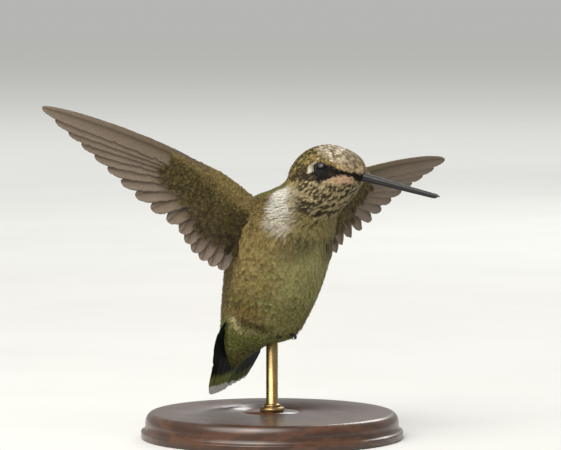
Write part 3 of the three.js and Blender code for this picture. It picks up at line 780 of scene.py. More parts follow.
def plume_paint(looks, along, across, sheet):
    """Colours over small feathers: rims in the edge's colour, dark centres, and roots darkened partly for
    the greyer down there and partly as painted shade under the overlapping feathers.
    """
    main, edge, dark, strength = (part[:, None] for part in looks)
    rim = np.maximum(np.abs(across), smooth(0.55, 1.02, along))
    paint = mix(main, edge, 0.9 * smooth(0.35, 0.95, rim) * ~sheet)
    centre = strength * (1 - smooth(0.3, 0.72, np.abs(across)))
    centre = centre * smooth(0.3, 0.5, along) * (1 - smooth(0.84, 1.0, along))
    # The roots darken to 0.42 of the colour: the greyer down there, and painted shade under the overlapping
    # feathers.
    return mix(paint, dark, centre) * (0.42 + 0.58 * smooth(0.05, 0.5, along))[..., None]


def lay_plumes(name, surface, roots, size, coat, looks, bake_place, barbs):
    """Many small feathers on a surface, joined into one mesh.

    roots: two coordinates and the heading of each feather, 0 along the falling first
    coordinate. size: length and width. coat: height of root and tip, and how fluffy.
    looks: main, edge and dark colours with the strength of the dark centre."""
    first, second, heading = (part[:, None] for part in roots)
    length, width = (part[:, None] for part in size)
    low, high, fluff = (part[:, None] for part in coat)
    shape, faces = plume_shape(barbs)
    along, across, barb, free = shape.T
    barb = barb.astype(int)
    sheet = free < 0
    free = np.clip(free, 0, 1)
    count = len(first)
    spread = RNG.normal(size=(count, barb.max() + 1, 3))[:, barb]
    along = along + free * spread[..., 0] * (0.045 + 0.07 * fluff)
    across = across * (1 + free * spread[..., 1] * (0.1 + 0.2 * fluff))
    rise = 1 - (1 - np.clip(along, 0, 1.1)) ** 2
    out = between(low, high, rise) - 0.1 * width * across**2 - 0.05 * sheet
    out = out + free * np.abs(spread[..., 2]) * fluff * 0.22
    ahead, beside = along * length, across * width / 2
    down = ahead * np.cos(heading) - beside * np.sin(heading)
    round_way = ahead * np.sin(heading) + beside * np.cos(heading)
    first_step, second_step = steps_of(surface, first, second)
    points = surface(first - down / first_step, second + round_way / second_step, out)
    paint = plume_paint(looks, along, across, sheet) * (1 + 0.09 * spread[..., 1])[..., None]
    patch = 0.0015 * np.stack([np.clip(across, -1, 1), np.clip(2 * along - 1, -1, 1)], axis=-1)
    bake = bake_place[:, None, :] + patch
    faces = faces[None] + np.arange(count)[:, None, None] * len(shape)
    paint = np.clip(paint, 0.0, 1.0).reshape(-1, 3)
    return make_mesh(name, points.reshape(-1, 3), faces.reshape(-1, 3), paint, bake.reshape(-1, 2))


# -------- materials
class Nodes:
    """A material's node tree, with short ways to add and join its nodes."""

    def __init__(self, name):
        self.material = bpy.data.materials.new(name)
        self.material.use_nodes = True
        self.tree = self.material.node_tree
        self.shader = self.tree.nodes["Principled BSDF"]

    def fill(self, node, values):
        """Sets a node's sockets and settings by name, with _ for the spaces of a socket's."""
        for key, value in values.items():
            socket = key.replace("_", " ")
            if socket in node.inputs:
                node.inputs[socket].default_value = value
            else:
                setattr(node, key, value)

    def add(self, kind, source=None, **values):
        """A new node with its values set, and its first socket joined to a source."""
        node = self.tree.nodes.new(kind)
        self.fill(node, values)
        if source is not None:
            self.join(source, node.inputs[0])
        return node

    def join(self, source, target):
        """Links an output to an input."""
        self.tree.links.new(source, target)

    def spots(self, scale, detail=3.0, roughness=0.55, map_name=None):
        """Noise over the object's own place, or over a map. Three scales stretch it."""
        if map_name:
            source = self.add("ShaderNodeUVMap", uv_map=map_name).outputs["UV"]
        else:
            source = self.add("ShaderNodeTexCoord").outputs["Object"]
        if np.ndim(scale):
            source = self.add("ShaderNodeMapping", source, Scale=scale).outputs["Vector"]
            scale = 1.0
        noise = self.add("ShaderNodeTexNoise", source, Scale=scale, Detail=detail, Roughness=roughness)
        return noise.outputs["Fac"]

    def ranged(self, value, low, high, to_low, to_high, kind="LINEAR"):
        """A value that goes from one number to another as the given one goes from low to high."""
        node = self.add(
            "ShaderNodeMapRange", value, interpolation_type=kind,
            From_Min=low, From_Max=high, To_Min=to_low, To_Max=to_high,
        )
        return node.outputs["Result"]

    def shaded(self, base, factor):
        """A colour made lighter or darker by a factor that varies."""
        node = self.add("ShaderNodeVectorMath", base, operation="SCALE")
        self.join(factor, node.inputs["Scale"])
        return node.outputs["Vector"]

    def ramp(self, value, *stops):
        """A colour that goes through stops, each a place from 0 to 1 and a colour."""
        node = self.add("ShaderNodeValToRGB", value)
        elements = node.color_ramp.elements
        while len(elements) < len(stops):
            elements.new(0.5)
        for element, (place, tint) in zip(elements, stops):
            element.position = place
            element.color = (*tint, 1.0)
        return node.outputs["Color"]

    def bump(self, height, strength, distance):
        """Fine relief over the whole material, up to a distance in metres."""
        node = self.add("ShaderNodeBump", Strength=strength, Distance=distance)
        self.join(height, node.inputs["Height"])
        self.join(node.outputs["Normal"], self.shader.inputs["Normal"])

    def finish(self, tint, roughness=None, **values):
        """Joins the colour and an uneven roughness, and sets the shader's plain values."""
        self.join(tint, self.shader.inputs["Base Color"])
        if roughness is not None:
            self.join(roughness, self.shader.inputs["Roughness"])
        self.fill(self.shader, values)
        return self.material


def painted_material(name, roughness, uneven_gloss, sheen, metallic=0.0, bump=0.0, threads=None):
    """Plumage in the colours painted on the mesh, uneven in brightness and gloss. Threads
    gives the fine lines of the barbs where a mesh has the map for them."""
    nodes = Nodes(name)
    painted = nodes.add("ShaderNodeAttribute", attribute_name="Coat", attribute_type="GEOMETRY")
    uneven = nodes.spots(2600.0, 4.0)
    relief = uneven
    paint = nodes.shaded(painted.outputs["Color"], nodes.ranged(uneven, 0.3, 0.7, 0.84, 1.14))
    if threads:
        relief = nodes.spots(threads, 2.0, 0.5, "Detail")
        paint = nodes.shaded(paint, nodes.ranged(relief, 0.3, 0.7, 0.86, 1.12))
    if bump:
        nodes.bump(relief, bump, 0.0001)
    gloss = nodes.ranged(uneven, 0.3, 0.7, roughness - uneven_gloss, roughness + uneven_gloss)
    return nodes.finish(
        paint, gloss, Sheen_Weight=sheen, Sheen_Roughness=0.5, Metallic=metallic, Specular_IOR_Level=0.12,
    )


SKIN = painted_material("skin_under_feathers", 0.85, 0.05, 0.0, bump=0.4)
DOWN = painted_material("soft_plumage", 0.8, 0.08, 0.05)
SLEEK = painted_material("head_plumage", 0.65, 0.12, 0.0)
GREEN = painted_material("metallic_plumage", 0.42, 0.1, 0.0, metallic=0.35)
BLADE = painted_material("flight_feather", 0.55, 0.1, 0.0, bump=0.35, threads=(0.35, 9.0, 1.0))


# -------- body skin and coat
def bake_spot(row, angle, rows):
    """Where a place of the body lies on the skin's unwrap, for a stretch of rows."""
    across = inset(np.mod(angle, 2 * math.pi) / (2 * math.pi))
    return np.stack([across, inset((row - rows[0]) / (rows[1] - rows[0]))], axis=-1)


# The skin that shows between the feathers is painted darker, as painted shade.
SKIN_PAINTED_SHADE = 0.62  # of the feathers' brightness


def build_skin():
    """The skin of the whole body, a coat's depth inside the outline of the feathers."""
    row, angle = np.meshgrid(np.linspace(0.0, LAST_ROW, 241), full_turn(144), indexing="ij")
    chance = np.full((*row.shape, 2), 0.5)
    main, edge, _, _ = markings(body_surface(row, angle, 0.0), row, angle, chance)
    # Painted shade: the skin takes the feathers' colours at a lower brightness.
    paint = mix(main, edge, np.full(row.shape, 0.25)) * SKIN_PAINTED_SHADE
    skin = loft_mesh("skin", body_surface(row, angle, -coat_depth(row)), paint)
    dress(skin, SKIN, "body_plumage", "belly", "tail_coverts", "breast", "neck", "head")


def eye_centre(side):
    """The middle of the eye on the left (1) or the right (-1)."""
    forward, up, out = EYE_PLACE
    return head_point(forward, up, out * side)


ROOT_CLEARANCE = 0.16  # of the feathers' roots around an eyeball
TIP_CLEARANCE = 0.08


def clear_of_eyes(row, angle, length):
    """Keeps feathers off the eyes: which roots may stay, and how long each may be."""
    step, _ = steps_of(body_surface, row, angle)
    kept = np.ones(len(row), dtype=bool)
    allowed = length.copy()
    for side in (1, -1):
        centre = eye_centre(side)
        away = np.linalg.norm(body_surface(row, angle, 0.0) - centre, axis=-1)
        kept &= away > EYE_RADIUS + ROOT_CLEARANCE
        for share in (1.0, 0.8, 0.6, 0.4, 0.25):
            tip = body_surface(row - allowed / step, angle, 0.0)
            hits = np.linalg.norm(tip - centre, axis=-1) < EYE_RADIUS + TIP_CLEARANCE
            allowed = np.where(hits, length * share, allowed)
    return kept, allowed


def body_spacing(row, angle):
    """How far apart the feathers of the body stand: closest on the face."""
    gap = between(0.88, 0.56, smooth(9.5, 12.5, row))
    gap = between(gap, 0.42, smooth(12.6, 14.4, row))
    gap = between(gap, 0.3, smooth(15.5, 18.5, row) * smooth(45, 85, side_of(angle)))
    return between(0.8, gap, smooth(1.0, 4.0, row))


SEEN_SHARE = 0.75  # how far along a feather the part that shows lies


def build_coat(name, rows, tries, barbs, material, slot, fluff, aspect=1.8, reach=3.3):
    """The feathers of one stretch of the body, each lying towards the tail. Aspect and reach
    are their width and length for each millimetre between their roots."""
    row, angle, gap = scatter(body_surface, rows, (0.0, 2 * math.pi), body_spacing, tries)
    length = gap * reach * RNG.uniform(0.85, 1.15, len(row))
    kept, length = clear_of_eyes(row, angle, length)
    row, angle, gap, length = row[kept], angle[kept], gap[kept], length[kept]
    chance = RNG.random((len(row), 2))
    step, _ = steps_of(body_surface, row, angle)
    root = body_surface(row, angle, 0.0)
    from_eyes = np.min([np.linalg.norm(root - eye_centre(way), axis=-1) for way in (1, -1)], axis=0)
    share = between(0.2, SEEN_SHARE, smooth(EYE_RADIUS + 0.3, EYE_RADIUS + 1.3, from_eyes))
    seen = np.maximum(row - share * length / step, 0.0)
    looks = markings(body_surface(seen, angle, 0.0), seen, angle, chance)
    depth = coat_depth(row)
    lift = 0.05 + 0.1 * gap
    heading = RNG.normal(0.0, 0.13, len(row))
    piece = lay_plumes(
        name, body_surface, (row, angle, heading), (length, gap * aspect),
        (-0.95 * depth, lift, fluff(row, angle)), looks, bake_spot(row, angle, rows), barbs,
    )
    dress(piece, material, slot)


def downiness(row, angle):
    """How loose and fluffy the feathers are."""
    side = side_of(angle)
    vent = oval(row, side, (4.85, 120), (0.7, 60))
    ruff = oval(row, side, (11.2, 90), (2.0, 45))
    return 0.35 + 0.9 * np.clip(vent + ruff, 0, 1)


build_skin()
build_coat("coat_head", (13.4, 19.95), 60000, 9, SLEEK, "head_plumage", lambda row, angle: 0.15 + 0 * row)
build_coat("coat_neck", (10.6, 13.6), 40000, 13, DOWN, "body_plumage", downiness)
build_coat("coat_breast", (7.0, 10.8), 40000, 16, DOWN, "body_plumage", downiness)
build_coat("coat_belly", (3.7, 7.2), 40000, 16, DOWN, "body_plumage", downiness)
build_coat("coat_vent", (0.9, 3.9), 30000, 16, DOWN, "body_plumage", downiness, 2.0, 4.2)


# -------- flight and tail feathers
def vane_shape(share, bluntness):
    """Half the width of a vane at a share of its length: full early, round or blunt at the tip."""
    start = np.minimum(1.0, 0.45 + share * 2.2)
    end = np.sqrt(np.clip(1 - share**bluntness, 0, 1))
    return start * np.maximum(end, 0.1)


# Each feather says where on its wing or tail it is rooted, how long it is, the angle and the
# curve of its shaft, half its width and how much of it leads the shaft, how blunt its tip is,
# how far under the wing or tail it lies, and its place in the order from the outermost
# primary or the middle of the tail.
def primary_feather(index):
    """One of the ten hand feathers, from the long outermost to the short innermost one."""
    share = index / (PRIMARY_COUNT - 1)
    return {
        "root": (WRIST[0] - 0.6 * share, WRIST[1] + 0.5 * share + 0.4),
        "length": between(PRIMARY_SHORTEST, PRIMARY_LONGEST, (1 - share) ** 1.2),
        "angle": math.radians(2 + 20 * share + 36 * share**3.5),
        "curve": math.radians(7),
        "half": PRIMARY_HALF_WIDTH * (0.8 + 0.2 * share),
        "lead_share": between(0.6, 0.85, share),
        "bluntness": 6,
        "height": 0.13 * (PRIMARY_COUNT - 1 - index) - 0.7,
        "order": share,
    }


def secondary_feather(index):
    """One of the arm feathers, from the wrist to the elbow."""
    return {
        "root": (WRIST[0] - 0.9 - 1.15 * index, WRIST[1] + 0.6 + 0.3 * index),
        "length": SECONDARY_LENGTH + SECONDARY_BULGE * math.sin(math.pi * index / 7),
        "angle": math.radians(72 + 4.6 * index),
        "curve": math.radians(8),
        "half": SECONDARY_HALF_WIDTH,
        "lead_share": 0.85,
        "bluntness": 7,
        "height": -0.83 - 0.12 * index,
        "order": 1 + (index + 1) / SECONDARY_COUNT,
    }


def tail_feather(index, side):
    """One of the five feathers of the tail's left (1) or right (-1) half, from the middle out."""
    return {
        "root": (0.0, side * (0.55 + TAIL_SPREAD * index)),
        "length": TAIL_LENGTH - TAIL_STEP_BACK * index**1.4,
        "angle": side * TAIL_FAN * (index + 0.4),
        "curve": -side * TAIL_BOW * index / (TAIL_FEATHERS - 1),
        "half": TAIL_HALF_WIDTH,
        "lead_share": 1.1 if side > 0 else 0.9,
        "bluntness": 4,
        "height": 0.12 * index + (0.25 if side < 0 else 0.0),
        "order": index / (TAIL_FEATHERS - 1),
        "side": side,
    }


# Across a blade: place from the leading edge (-1) to the trailing edge (1), how much of the
# shaft's height shows there, and how thick the blade is.
BLADE_SECTION = np.array([
    (-1.0, 0.0, 0.02), (-0.7, 0.0, 0.05), (-0.35, 0.0, 0.07), (-0.07, 0.25, 0.1), (0.0, 1.0, 0.12),
    (0.07, 0.25, 0.1), (0.3, 0.0, 0.07), (0.6, 0.0, 0.05), (0.85, 0.0, 0.04), (1.0, 0.0, 0.02),
])
BLADE_STEPS = 70
SLIT_REACH = 0.45
BARB_SLANT = 1.3  # how far a barb runs towards the tip for each millimetre from the shaft


def ragged_edges(share, length):
    """The shares of a blade's width that its leading and trailing halves keep, with a few
    slits between their barbs."""
    edges = np.ones((len(share), 2))
    for _ in range(5):
        spot = RNG.uniform(0.35, 0.97)
        edge = RNG.integers(0, 2)
        depth = RNG.uniform(0.06, 0.2)
        edges[:, edge] -= depth * np.clip(1 - np.abs(share - spot) * length / SLIT_REACH, 0, 1)
    return edges * (1 + 0.02 * RNG.normal(size=edges.shape))


def blade(feather, place, painter):
    """A thin closed blade with a raised shaft, ragged edges, and a tilt that lays its trailing
    edge over the next feather. Gives its points, triangles and colours, its corners' places
    on its own unwrap, and the map of its barbs."""
    share = 1 - (1 - np.linspace(0, 1, BLADE_STEPS + 1)) ** 1.35
    angle = feather["angle"] + feather["curve"] * (share - 1)
    reach = feather["length"] * share
    along = np.stack([np.cos(angle), np.sin(angle)], axis=-1)
    across = np.stack([-np.sin(angle), np.cos(angle)], axis=-1)
    half = feather["half"] * vane_shape(share, feather["bluntness"])
    count = len(BLADE_SECTION)
    around = np.concatenate([np.arange(count), np.arange(count - 2, 0, -1)])
    over = np.concatenate([np.ones(count), -np.ones(count - 2)])
    section = BLADE_SECTION[around]
    wide = np.where(section[:, 0] < 0, feather["lead_share"], 2 - feather["lead_share"])
    edges = ragged_edges(share, feather["length"])[:, np.where(section[:, 0] < 0, 0, 1)]
    outer = smooth(0.5, 1.0, np.abs(section[:, 0]))[None]
    offset = section[None, :, 0] * wide * half[:, None] * between(1.0, edges, outer)
    shaft = 0.17 * (1 - share[:, None]) + 0.04
    out = feather["height"] + over * (section[:, 2] * 0.5 + section[:, 1] * shaft * 0.7)
    out = out + 0.1 * section[:, 0] + 0.12 * np.abs(section[:, 0]) ** 2 * np.sign(section[:, 0])
    root = np.array(feather["root"])
    flat = root + reach[:, None, None] * along[:, None] + offset[..., None] * across[:, None]
    rings = place(flat[..., 0], flat[..., 1], out)
    points, faces, cells = closed_loft(rings)
    tint = painter(feather, *np.broadcast_arrays(share[:, None], section[:, 0]), (over + 1) / 2)
    barbs = reach[:, None] - np.abs(offset) * BARB_SLANT
    cells = cells / (BLADE_STEPS, len(around))
    return points, faces, with_ends(tint), cells, with_ends(np.stack([np.abs(offset), barbs], axis=-1))


def build_blades(node, feathers, place, painter, slot):
    """Several blades joined into one piece that replaces one node."""
    parts = []
    count = len(feathers)
    start = 0
    for number, feather in enumerate(feathers):
        points, faces, tint, unwrap, detail = blade(feather, place, painter)
        strip = (number + 0.04 + 0.92 * unwrap[..., 1]) / count
        bake = np.stack([strip, inset(unwrap[..., 0])], axis=-1)
        parts.append((points, faces + start, tint, bake, detail))
        start += len(points)
    points, faces, tint, bake, detail = (np.concatenate(group) for group in zip(*parts))
    dress(make_mesh(f"{node}_vanes", points, faces, tint, bake, detail), BLADE, slot, node)


def with_shaft(tint, shaft_tint, across, strength):
    """A blade's colours with its shaft painted along the middle."""
    return mix(tint, shaft_tint, strength * np.exp(-((across / 0.09) ** 2)))


def wing_paint(feather, share, across, below):
    """Dusky brown, darkest near the coverts, paler and warmer towards the tips and the trailing
    edge, where light showing through the thin vanes is painted in. The colours go by share of the
    length, place across, and below (1) or above (0)."""
    order = feather["order"]
    # The paling towards the tips, the trailing edge and the inner feathers is painted light showing through
    # the thin vanes.
    pale = 0.1 + 0.4 * smooth(0.1, 0.9, share) + 0.25 * smooth(0.7, 1.9, order)
    pale = pale + 0.3 * smooth(0.0, 1.0, across) + RNG.uniform(-0.08, 0.08)
    under = mix(REMEX_DARK, REMEX_PAINTED_TRANSLUCENCE, np.clip(pale, 0, 1))
    upper = mix(REMEX_UPPER, REMEX_BROWN, 0.35 * smooth(0.0, 1.0, share) + 0.1 * across)
    return with_shaft(mix(upper, under, below), REMEX_SHAFT, across, 0.55)


def tail_paint(feather, share, across, below):
    """Blue-black, with green central feathers and white outer tips. Short of the tips lies a band
    of painted sheen, lighter green above and olive below; below, that band and the white are wide
    on the right half and narrow on the left."""
    right = feather["side"] < 0
    outer = smooth(0.0, 0.3, feather["order"])
    to_tip = (1 - share) * feather["length"] + 0.35 * across**2
    green = 0.9 * (1 - smooth(0.1, 0.45, feather["order"]))
    tint = mix(TAIL_BLACK, TAIL_GREEN, green)
    tint = mix(tint, TAIL_GREEN, (1 - smooth(0.2, 0.42, share)) * 0.5)
    # A band of painted sheen short of the tips: a lighter green above, olive below.
    sheen_length, sheen_strength = (3.8, 1.0) if right else (1.5, 0.6)
    olive = smooth(sheen_length + 2.0, sheen_length, to_tip) * sheen_strength * between(0.5, 1.0, outer)
    tint = mix(tint, mix(TAIL_GREEN * 1.3, TAIL_OLIVE_SHEEN, below), olive)
    if right:
        white_below = between(1.6, 2.3, outer)
    else:
        white_below = between(1.4, 0.6, smooth(0.1, 0.6, feather["order"]))
    white_length = between(2.0 * outer, white_below, below)
    tint = mix(tint, TAIL_WHITE, smooth(0.18, -0.18, to_tip - white_length))
    return with_shaft(tint, TAIL_BLACK * 1.6, across, 0.6 * (to_tip > white_length))


def build_wing(name, wing):
    """The ten primaries and six secondaries of one wing."""
    place = wing_placer(wing)
    primaries = [primary_feather(index) for index in range(PRIMARY_COUNT)]
    secondaries = [secondary_feather(index) for index in range(SECONDARY_COUNT)]
    build_blades(f"wing_{name}_primaries", primaries, place, wing_paint, "flight_feathers")
    build_blades(f"wing_{name}_secondaries", secondaries, place, wing_paint, "flight_feathers")


def build_tail():
    """The two halves of the tail."""
    for name, side in (("left", 1), ("right", -1)):
        feathers = [tail_feather(index, side) for index in range(TAIL_FEATHERS)]
        build_blades(f"tail_{name}", feathers, tail_place, tail_paint, "tail_feathers")


for wing_name, wing_pose in WINGS.items():
    build_wing(wing_name, wing_pose)
build_tail()


# -------- wing coverts
def arm_lens(span, chord):
    """How far the arm's flesh stands out of the wing's plane, and how far back a place lies
    from its front edge (0) to its rear edge (1)."""
    station = np.interp(span, ARM_STATIONS[:, 0], np.arange(len(ARM_STATIONS)))
    lead, trail, thick = np.moveaxis(curve_through(ARM_STATIONS[:, 1:], station), -1, 0)
    share = np.clip((chord - lead) / (trail - lead), 0, 1)
    return np.sqrt(share * (1 - share)) * thick * between(1.25, 0.5, share), share


def wing_face(place, over):
    """The under (1) or upper (-1) face of a wing's arm, by span and chord. It stays clear of
    the flight feathers, whose bases it covers."""
    def surface(span, chord, out):
        span, chord, out = np.broadcast_arrays(span, chord, out)
        lens, share = arm_lens(span, chord)
        hand = smooth(6.0, 12.0, span)
        clear = between(0.55, 1.15, hand) if over > 0 else between(1.4, 0.8, hand)
        clear = clear * smooth(0.0, 0.3, share)
        return place(span, chord, over * (np.maximum(lens, clear) + out) - ARM_LIFT)

    return surface


def covert_spacing(span, chord):
    """Small feathers along the front edge, the largest at the rear."""
    _, share = arm_lens(span, chord)
    return between(0.65, 1.45, smooth(0.3, 0.95, share))


def covert_looks(over, span, share, chance):
    """Brown coverts with buff fronts below (1), darkened towards the body as painted shade; green and
    bronze ones above (-1).
    """
    first, second = chance.T
    if over > 0:
        front = smooth(0.42, 0.05, share)
        main = mix(UNDERWING_DARK, UNDERWING_EDGE, np.minimum(0.2 * first + 0.9 * front, 1))
        edge = mix(UNDERWING_EDGE, FLANK_BUFF, 0.15 * second + 0.8 * front)
        edge = mix(edge, REMEX_BROWN, 0.5 * smooth(0.6, 0.9, share))
        # Painted shade: the underwing coverts darken to 0.6 towards the body.
        shade = between(0.6, 1.0, smooth(1.0, 7.0, span + 6.0 * front))[:, None]
        main, edge = main * shade, edge * shade
    else:
        main = mix(UPPERWING_GREEN, BACK_BRONZE, first * 0.7)
        edge = mix(BACK_BRONZE, BACK_EDGE, 0.6 * second)
    return main, edge, main * 0.5, 0.5 * (second > 0.35)


def build_coverts(name, place, over):
    """The covert feathers over the under (1) or upper (-1) face of one arm."""
    surface = wing_face(place, over)
    span, chord, gap = scatter(surface, (-1.5, 19.5), (-4.4, 8.7), covert_spacing, 30000)
    _, share = arm_lens(span, chord)
    front, rear = (np.interp(span, ARM_STATIONS[:, 0], ARM_STATIONS[:, column]) for column in (1, 2))
    kept = (chord < rear - 0.6) & (chord > front + (0.05 if over > 0 else 0.6))
    span, chord, gap, share = span[kept], chord[kept], gap[kept], share[kept]
    length = gap * between(2.8, 3.3, share) * RNG.uniform(0.9, 1.1, len(span))
    outward = np.radians(between(52.0, 14.0, smooth(14.0, 2.0, span)))
    heading = np.pi / 2 + outward + RNG.normal(0, 0.1, len(span))
    looks = covert_looks(over, span, share, RNG.random((len(span), 2)))
    bake_place = np.stack([(span + 2) / 22, (chord + 5) / 15], axis=-1)
    piece = lay_plumes(
        name, surface, (span, chord, heading), (length, gap * 1.7),
        (-0.3 + 0 * gap, 0.08 + 0.1 * gap, 0.2 + 0 * gap), looks, bake_place, 14,
    )
    dress(piece, DOWN if over > 0 else GREEN, "wing_coverts")


def build_arm(name, wing):
    """The arm's skin, and the covert feathers over both its faces."""
    place = wing_placer(wing)
    station, turn = np.meshgrid(np.linspace(0, len(ARM_STATIONS) - 1, 41), full_turn(48), indexing="ij")
    # Painted shade: the arm's skin takes the coverts' colours at 0.6 of their brightness; towards the front
    # edge it is painted buff.
    paint = np.where(np.sin(turn)[..., None] > 0, UNDERWING_DARK, UPPERWING_GREEN) * 0.6
    paint = mix(paint, UNDERWING_EDGE, smooth(0.2, 0.8, np.cos(turn)))
    skin = loft_mesh(f"wing_{name}_skin", arm_surface(place)(station, turn, -0.3), paint)
    dress(skin, SKIN, "wing_coverts", f"wing_{name}_arm")
    build_coverts(f"coverts_{name}_under", place, 1)
    build_coverts(f"coverts_{name}_upper", place, -1)


for wing_name, wing_pose in WINGS.items():
    build_arm(wing_name, wing_pose)


# -------- eyes, bill and feet
def closed_ring(rings):
    """Points and triangles of a ring of rings."""
    count, around = rings.shape[:2]
    ring, step = (part.ravel() for part in np.mgrid[0:count, 0:around])
    here, ahead = ring * around, (ring + 1) % count * around
    beside = (step + 1) % around
    return rings.reshape(-1, 3), halves([here + step, here + beside, ahead + beside, ahead + step])


def eye_material():
    """Near-black, with a very dark brown iris that only shows close to."""
    nodes = Nodes("eye")
    tint = nodes.ramp(nodes.spots(900.0, 4.0), (0.35, colour("030304")), (0.7, colour("0c0908")))
    return nodes.finish(tint, Roughness=0.05, Specular_IOR_Level=0.28)


def horn_material(name, dark, light, roughness, scales, bump):
    """Horn of the bill, feet and eyelids: dark, with fine uneven lines."""
    nodes = Nodes(name)
    lines = nodes.spots(scales, 5.0, 0.6)
    nodes.bump(lines, bump, 0.00008)
    tint = nodes.ramp(lines, (0.3, colour(dark)), (0.75, colour(light)))
    gloss = nodes.ranged(lines, 0.3, 0.7, roughness - 0.08, roughness + 0.1)
    return nodes.finish(tint, gloss, Specular_IOR_Level=0.5)


EYE = eye_material()
HORN = horn_material("bill_horn", "0b090a", "1a1617", 0.5, (900.0, 900.0, 3000.0), 0.06)
LID = horn_material("eyelid", "121011", "292624", 0.6, (4200.0, 4200.0, 4200.0), 0.6)
SCUTES = horn_material("foot_scales", "141011", "39302c", 0.5, (2500.0, 2500.0, 6000.0), 0.6)


def eyelid(centre, axis):
    """A thin wavy ring about an axis, a little thicker on one side."""
    first = unit(np.cross(axis, (0.0, 0.0, 1.0)))
    second = np.cross(axis, first)
    turn, roll = full_turn(64)[:, None], full_turn(12)
    radius = LID_RADIUS * (1 + 0.03 * np.cos(2 * turn + 0.5))
    thick = 0.11 + 0.03 * np.cos(turn)
    away = radius + thick * np.cos(roll)
    point = (away * np.cos(turn))[..., None] * first + (away * np.sin(turn))[..., None] * second
    return closed_ring(centre + point + (thick * np.sin(roll))[..., None] * axis)


def build_eye(name, side):
    """A glossy ball with its lid."""
    centre = eye_centre(side)
    axis = unit(head_point(0.35, 0.12, side * 1.0) - head_point(0.0, 0.0, 0.0))
    bpy.ops.mesh.primitive_ico_sphere_add(subdivisions=5, radius=EYE_RADIUS * MM, location=(0, 0, 0))
    ball = bpy.context.object
    ball.name = f"eyeball_{name}"
    ball.data.transform(Matrix.Translation(Vector((centre + TRUNK) * MM)))
    ball.data.shade_smooth()
    dress(ball, EYE, "eye", f"eye_{name}")
    dress(make_mesh(f"eyelid_{name}", *eyelid(centre + axis * LID_OUT, axis)), LID, "eye")


def build_bill():
    """Two long mandibles with a flat cutting edge, the upper one keeled near its root."""
    for name, way, tip in (("upper", 1, BILL_TIP), ("lower", -1, BILL_TIP - LOWER_BILL_SHORTER)):
        share = np.linspace(0, 1, 81)[:, None]
        turn = np.linspace(0, math.pi, 21)[None]
        size = between(1.0, BILL_TIP_SHARE, np.sqrt(share))
        size = size * np.sqrt(np.clip(1 - smooth(0.955, 1.0, share) * 0.85, 0.05, 1))
        keel = 1 + 0.1 * (1 - smooth(0.0, 0.35, share)) * np.sin(turn) ** 6 * (way > 0)
        left = np.cos(turn) * BILL_HALF_WIDTH * size * BILL_INSIDE
        up = (np.sin(turn) * BILL_HALF_HEIGHT * size * keel * BILL_INSIDE + BILL_SLIT / 2) * way
        rings = head_point(between(BILL_ROOT, tip, share) + 0 * turn, up, left)
        dress(make_mesh(f"mandible_{name}", *closed_loft(rings)[:2]), HORN, "bill", f"bill_{name}")


def tube(places, radius, steps, around):
    """A closed tapering rod along a smooth curve. The radius goes by share of its length."""
    places = np.array(places, dtype=float)
    share = np.linspace(0, 1, steps + 1)
    middle = curve_through(places, share * (len(places) - 1))
    way = unit(np.gradient(middle, axis=0))
    first = unit(np.cross(way, (0.15, 1.0, 0.1)))
    second = np.cross(way, first)
    turn = full_turn(around)[:, None]
    ring = np.cos(turn) * first[:, None] + np.sin(turn) * second[:, None]
    return closed_loft(middle[:, None] + ring * radius(share)[:, None, None])[:2]


def joined(parts):
    """Several bodies' points and triangles as one."""
    starts = np.cumsum([0] + [len(points) for points, _ in parts])
    faces = [part_faces + start for (_, part_faces), start in zip(parts, starts)]
    return np.concatenate([points for points, _ in parts]), np.concatenate(faces)


TOES = ((-38.0, 1.0), (0.0, 1.0), (38.0, 1.0), (180.0, 0.75))  # turn and size of each toe


def toe_radius(share):
    """A toe's radius at a share of its length, with a few swellings."""
    return TOE_RADIUS * (0.95 - 0.3 * share + 0.12 * np.sin(share * 15.0))


def build_foot(name, leg):
    """A short scaly leg, and four small toes that hang loosely closed, with curved claws."""
    hip, ankle = np.array(leg["hip"]), np.array(leg["ankle"])
    rod = tube((hip, (hip + ankle) / 2, ankle), lambda share: LEG_RADIUS * (1 - 0.25 * share), 14, 14)
    dress(make_mesh(f"shank_{name}", *rod), SCUTES, "foot", f"leg_{name}")
    start = ankle + (0.25, 0.0, -0.3)
    parts = []
    for turn, size in TOES:
        reach = TOE_LENGTH * size
        forward = np.array([math.cos(math.radians(turn)), math.sin(math.radians(turn)), 0.0])

        def spot(ahead, down):
            return start + forward * ahead * reach - (0, 0, down * reach)

        toe = (start, spot(0.45, 0.1), spot(0.58, 0.36))
        parts.append(tube(toe, toe_radius, 16, 12))
        root, tip = spot(0.56, 0.4), spot(0.2, 0.62)
        claw = (root, root + (tip - root) * 0.5 + forward * 0.12 * reach, tip)
        parts.append(tube(claw, lambda share: 0.17 * (1 - share) + 0.015, 10, 8))
    dress(make_mesh(f"toes_{name}", *joined(parts)), SCUTES, "foot", f"foot_{name}")


build_eye("right", -1)
build_eye("left", 1)
build_bill()
for leg_name, leg_places in LEGS.items():
    build_foot(leg_name, leg_places)


# -------- stand
def lathe(profile, around=128):
    """A closed body turned about the stand's upright axis, from radii and heights."""
    radius, height = (np.array(part)[:, None] for part in zip(*profile))
    turn = full_turn(around)
    rings = np.stack([radius * np.cos(turn), radius * np.sin(turn), height + 0 * turn], axis=-1)
    return closed_loft(rings - TRUNK)[:2]


def arc(centre, radii, start, end, steps):
    """Places along part of an ellipse, from one turn in degrees to another."""
    turn = np.radians(np.linspace(start, end, steps))
    return list(zip(centre[0] + radii[0] * np.cos(turn), centre[1] + radii[1] * np.sin(turn)))


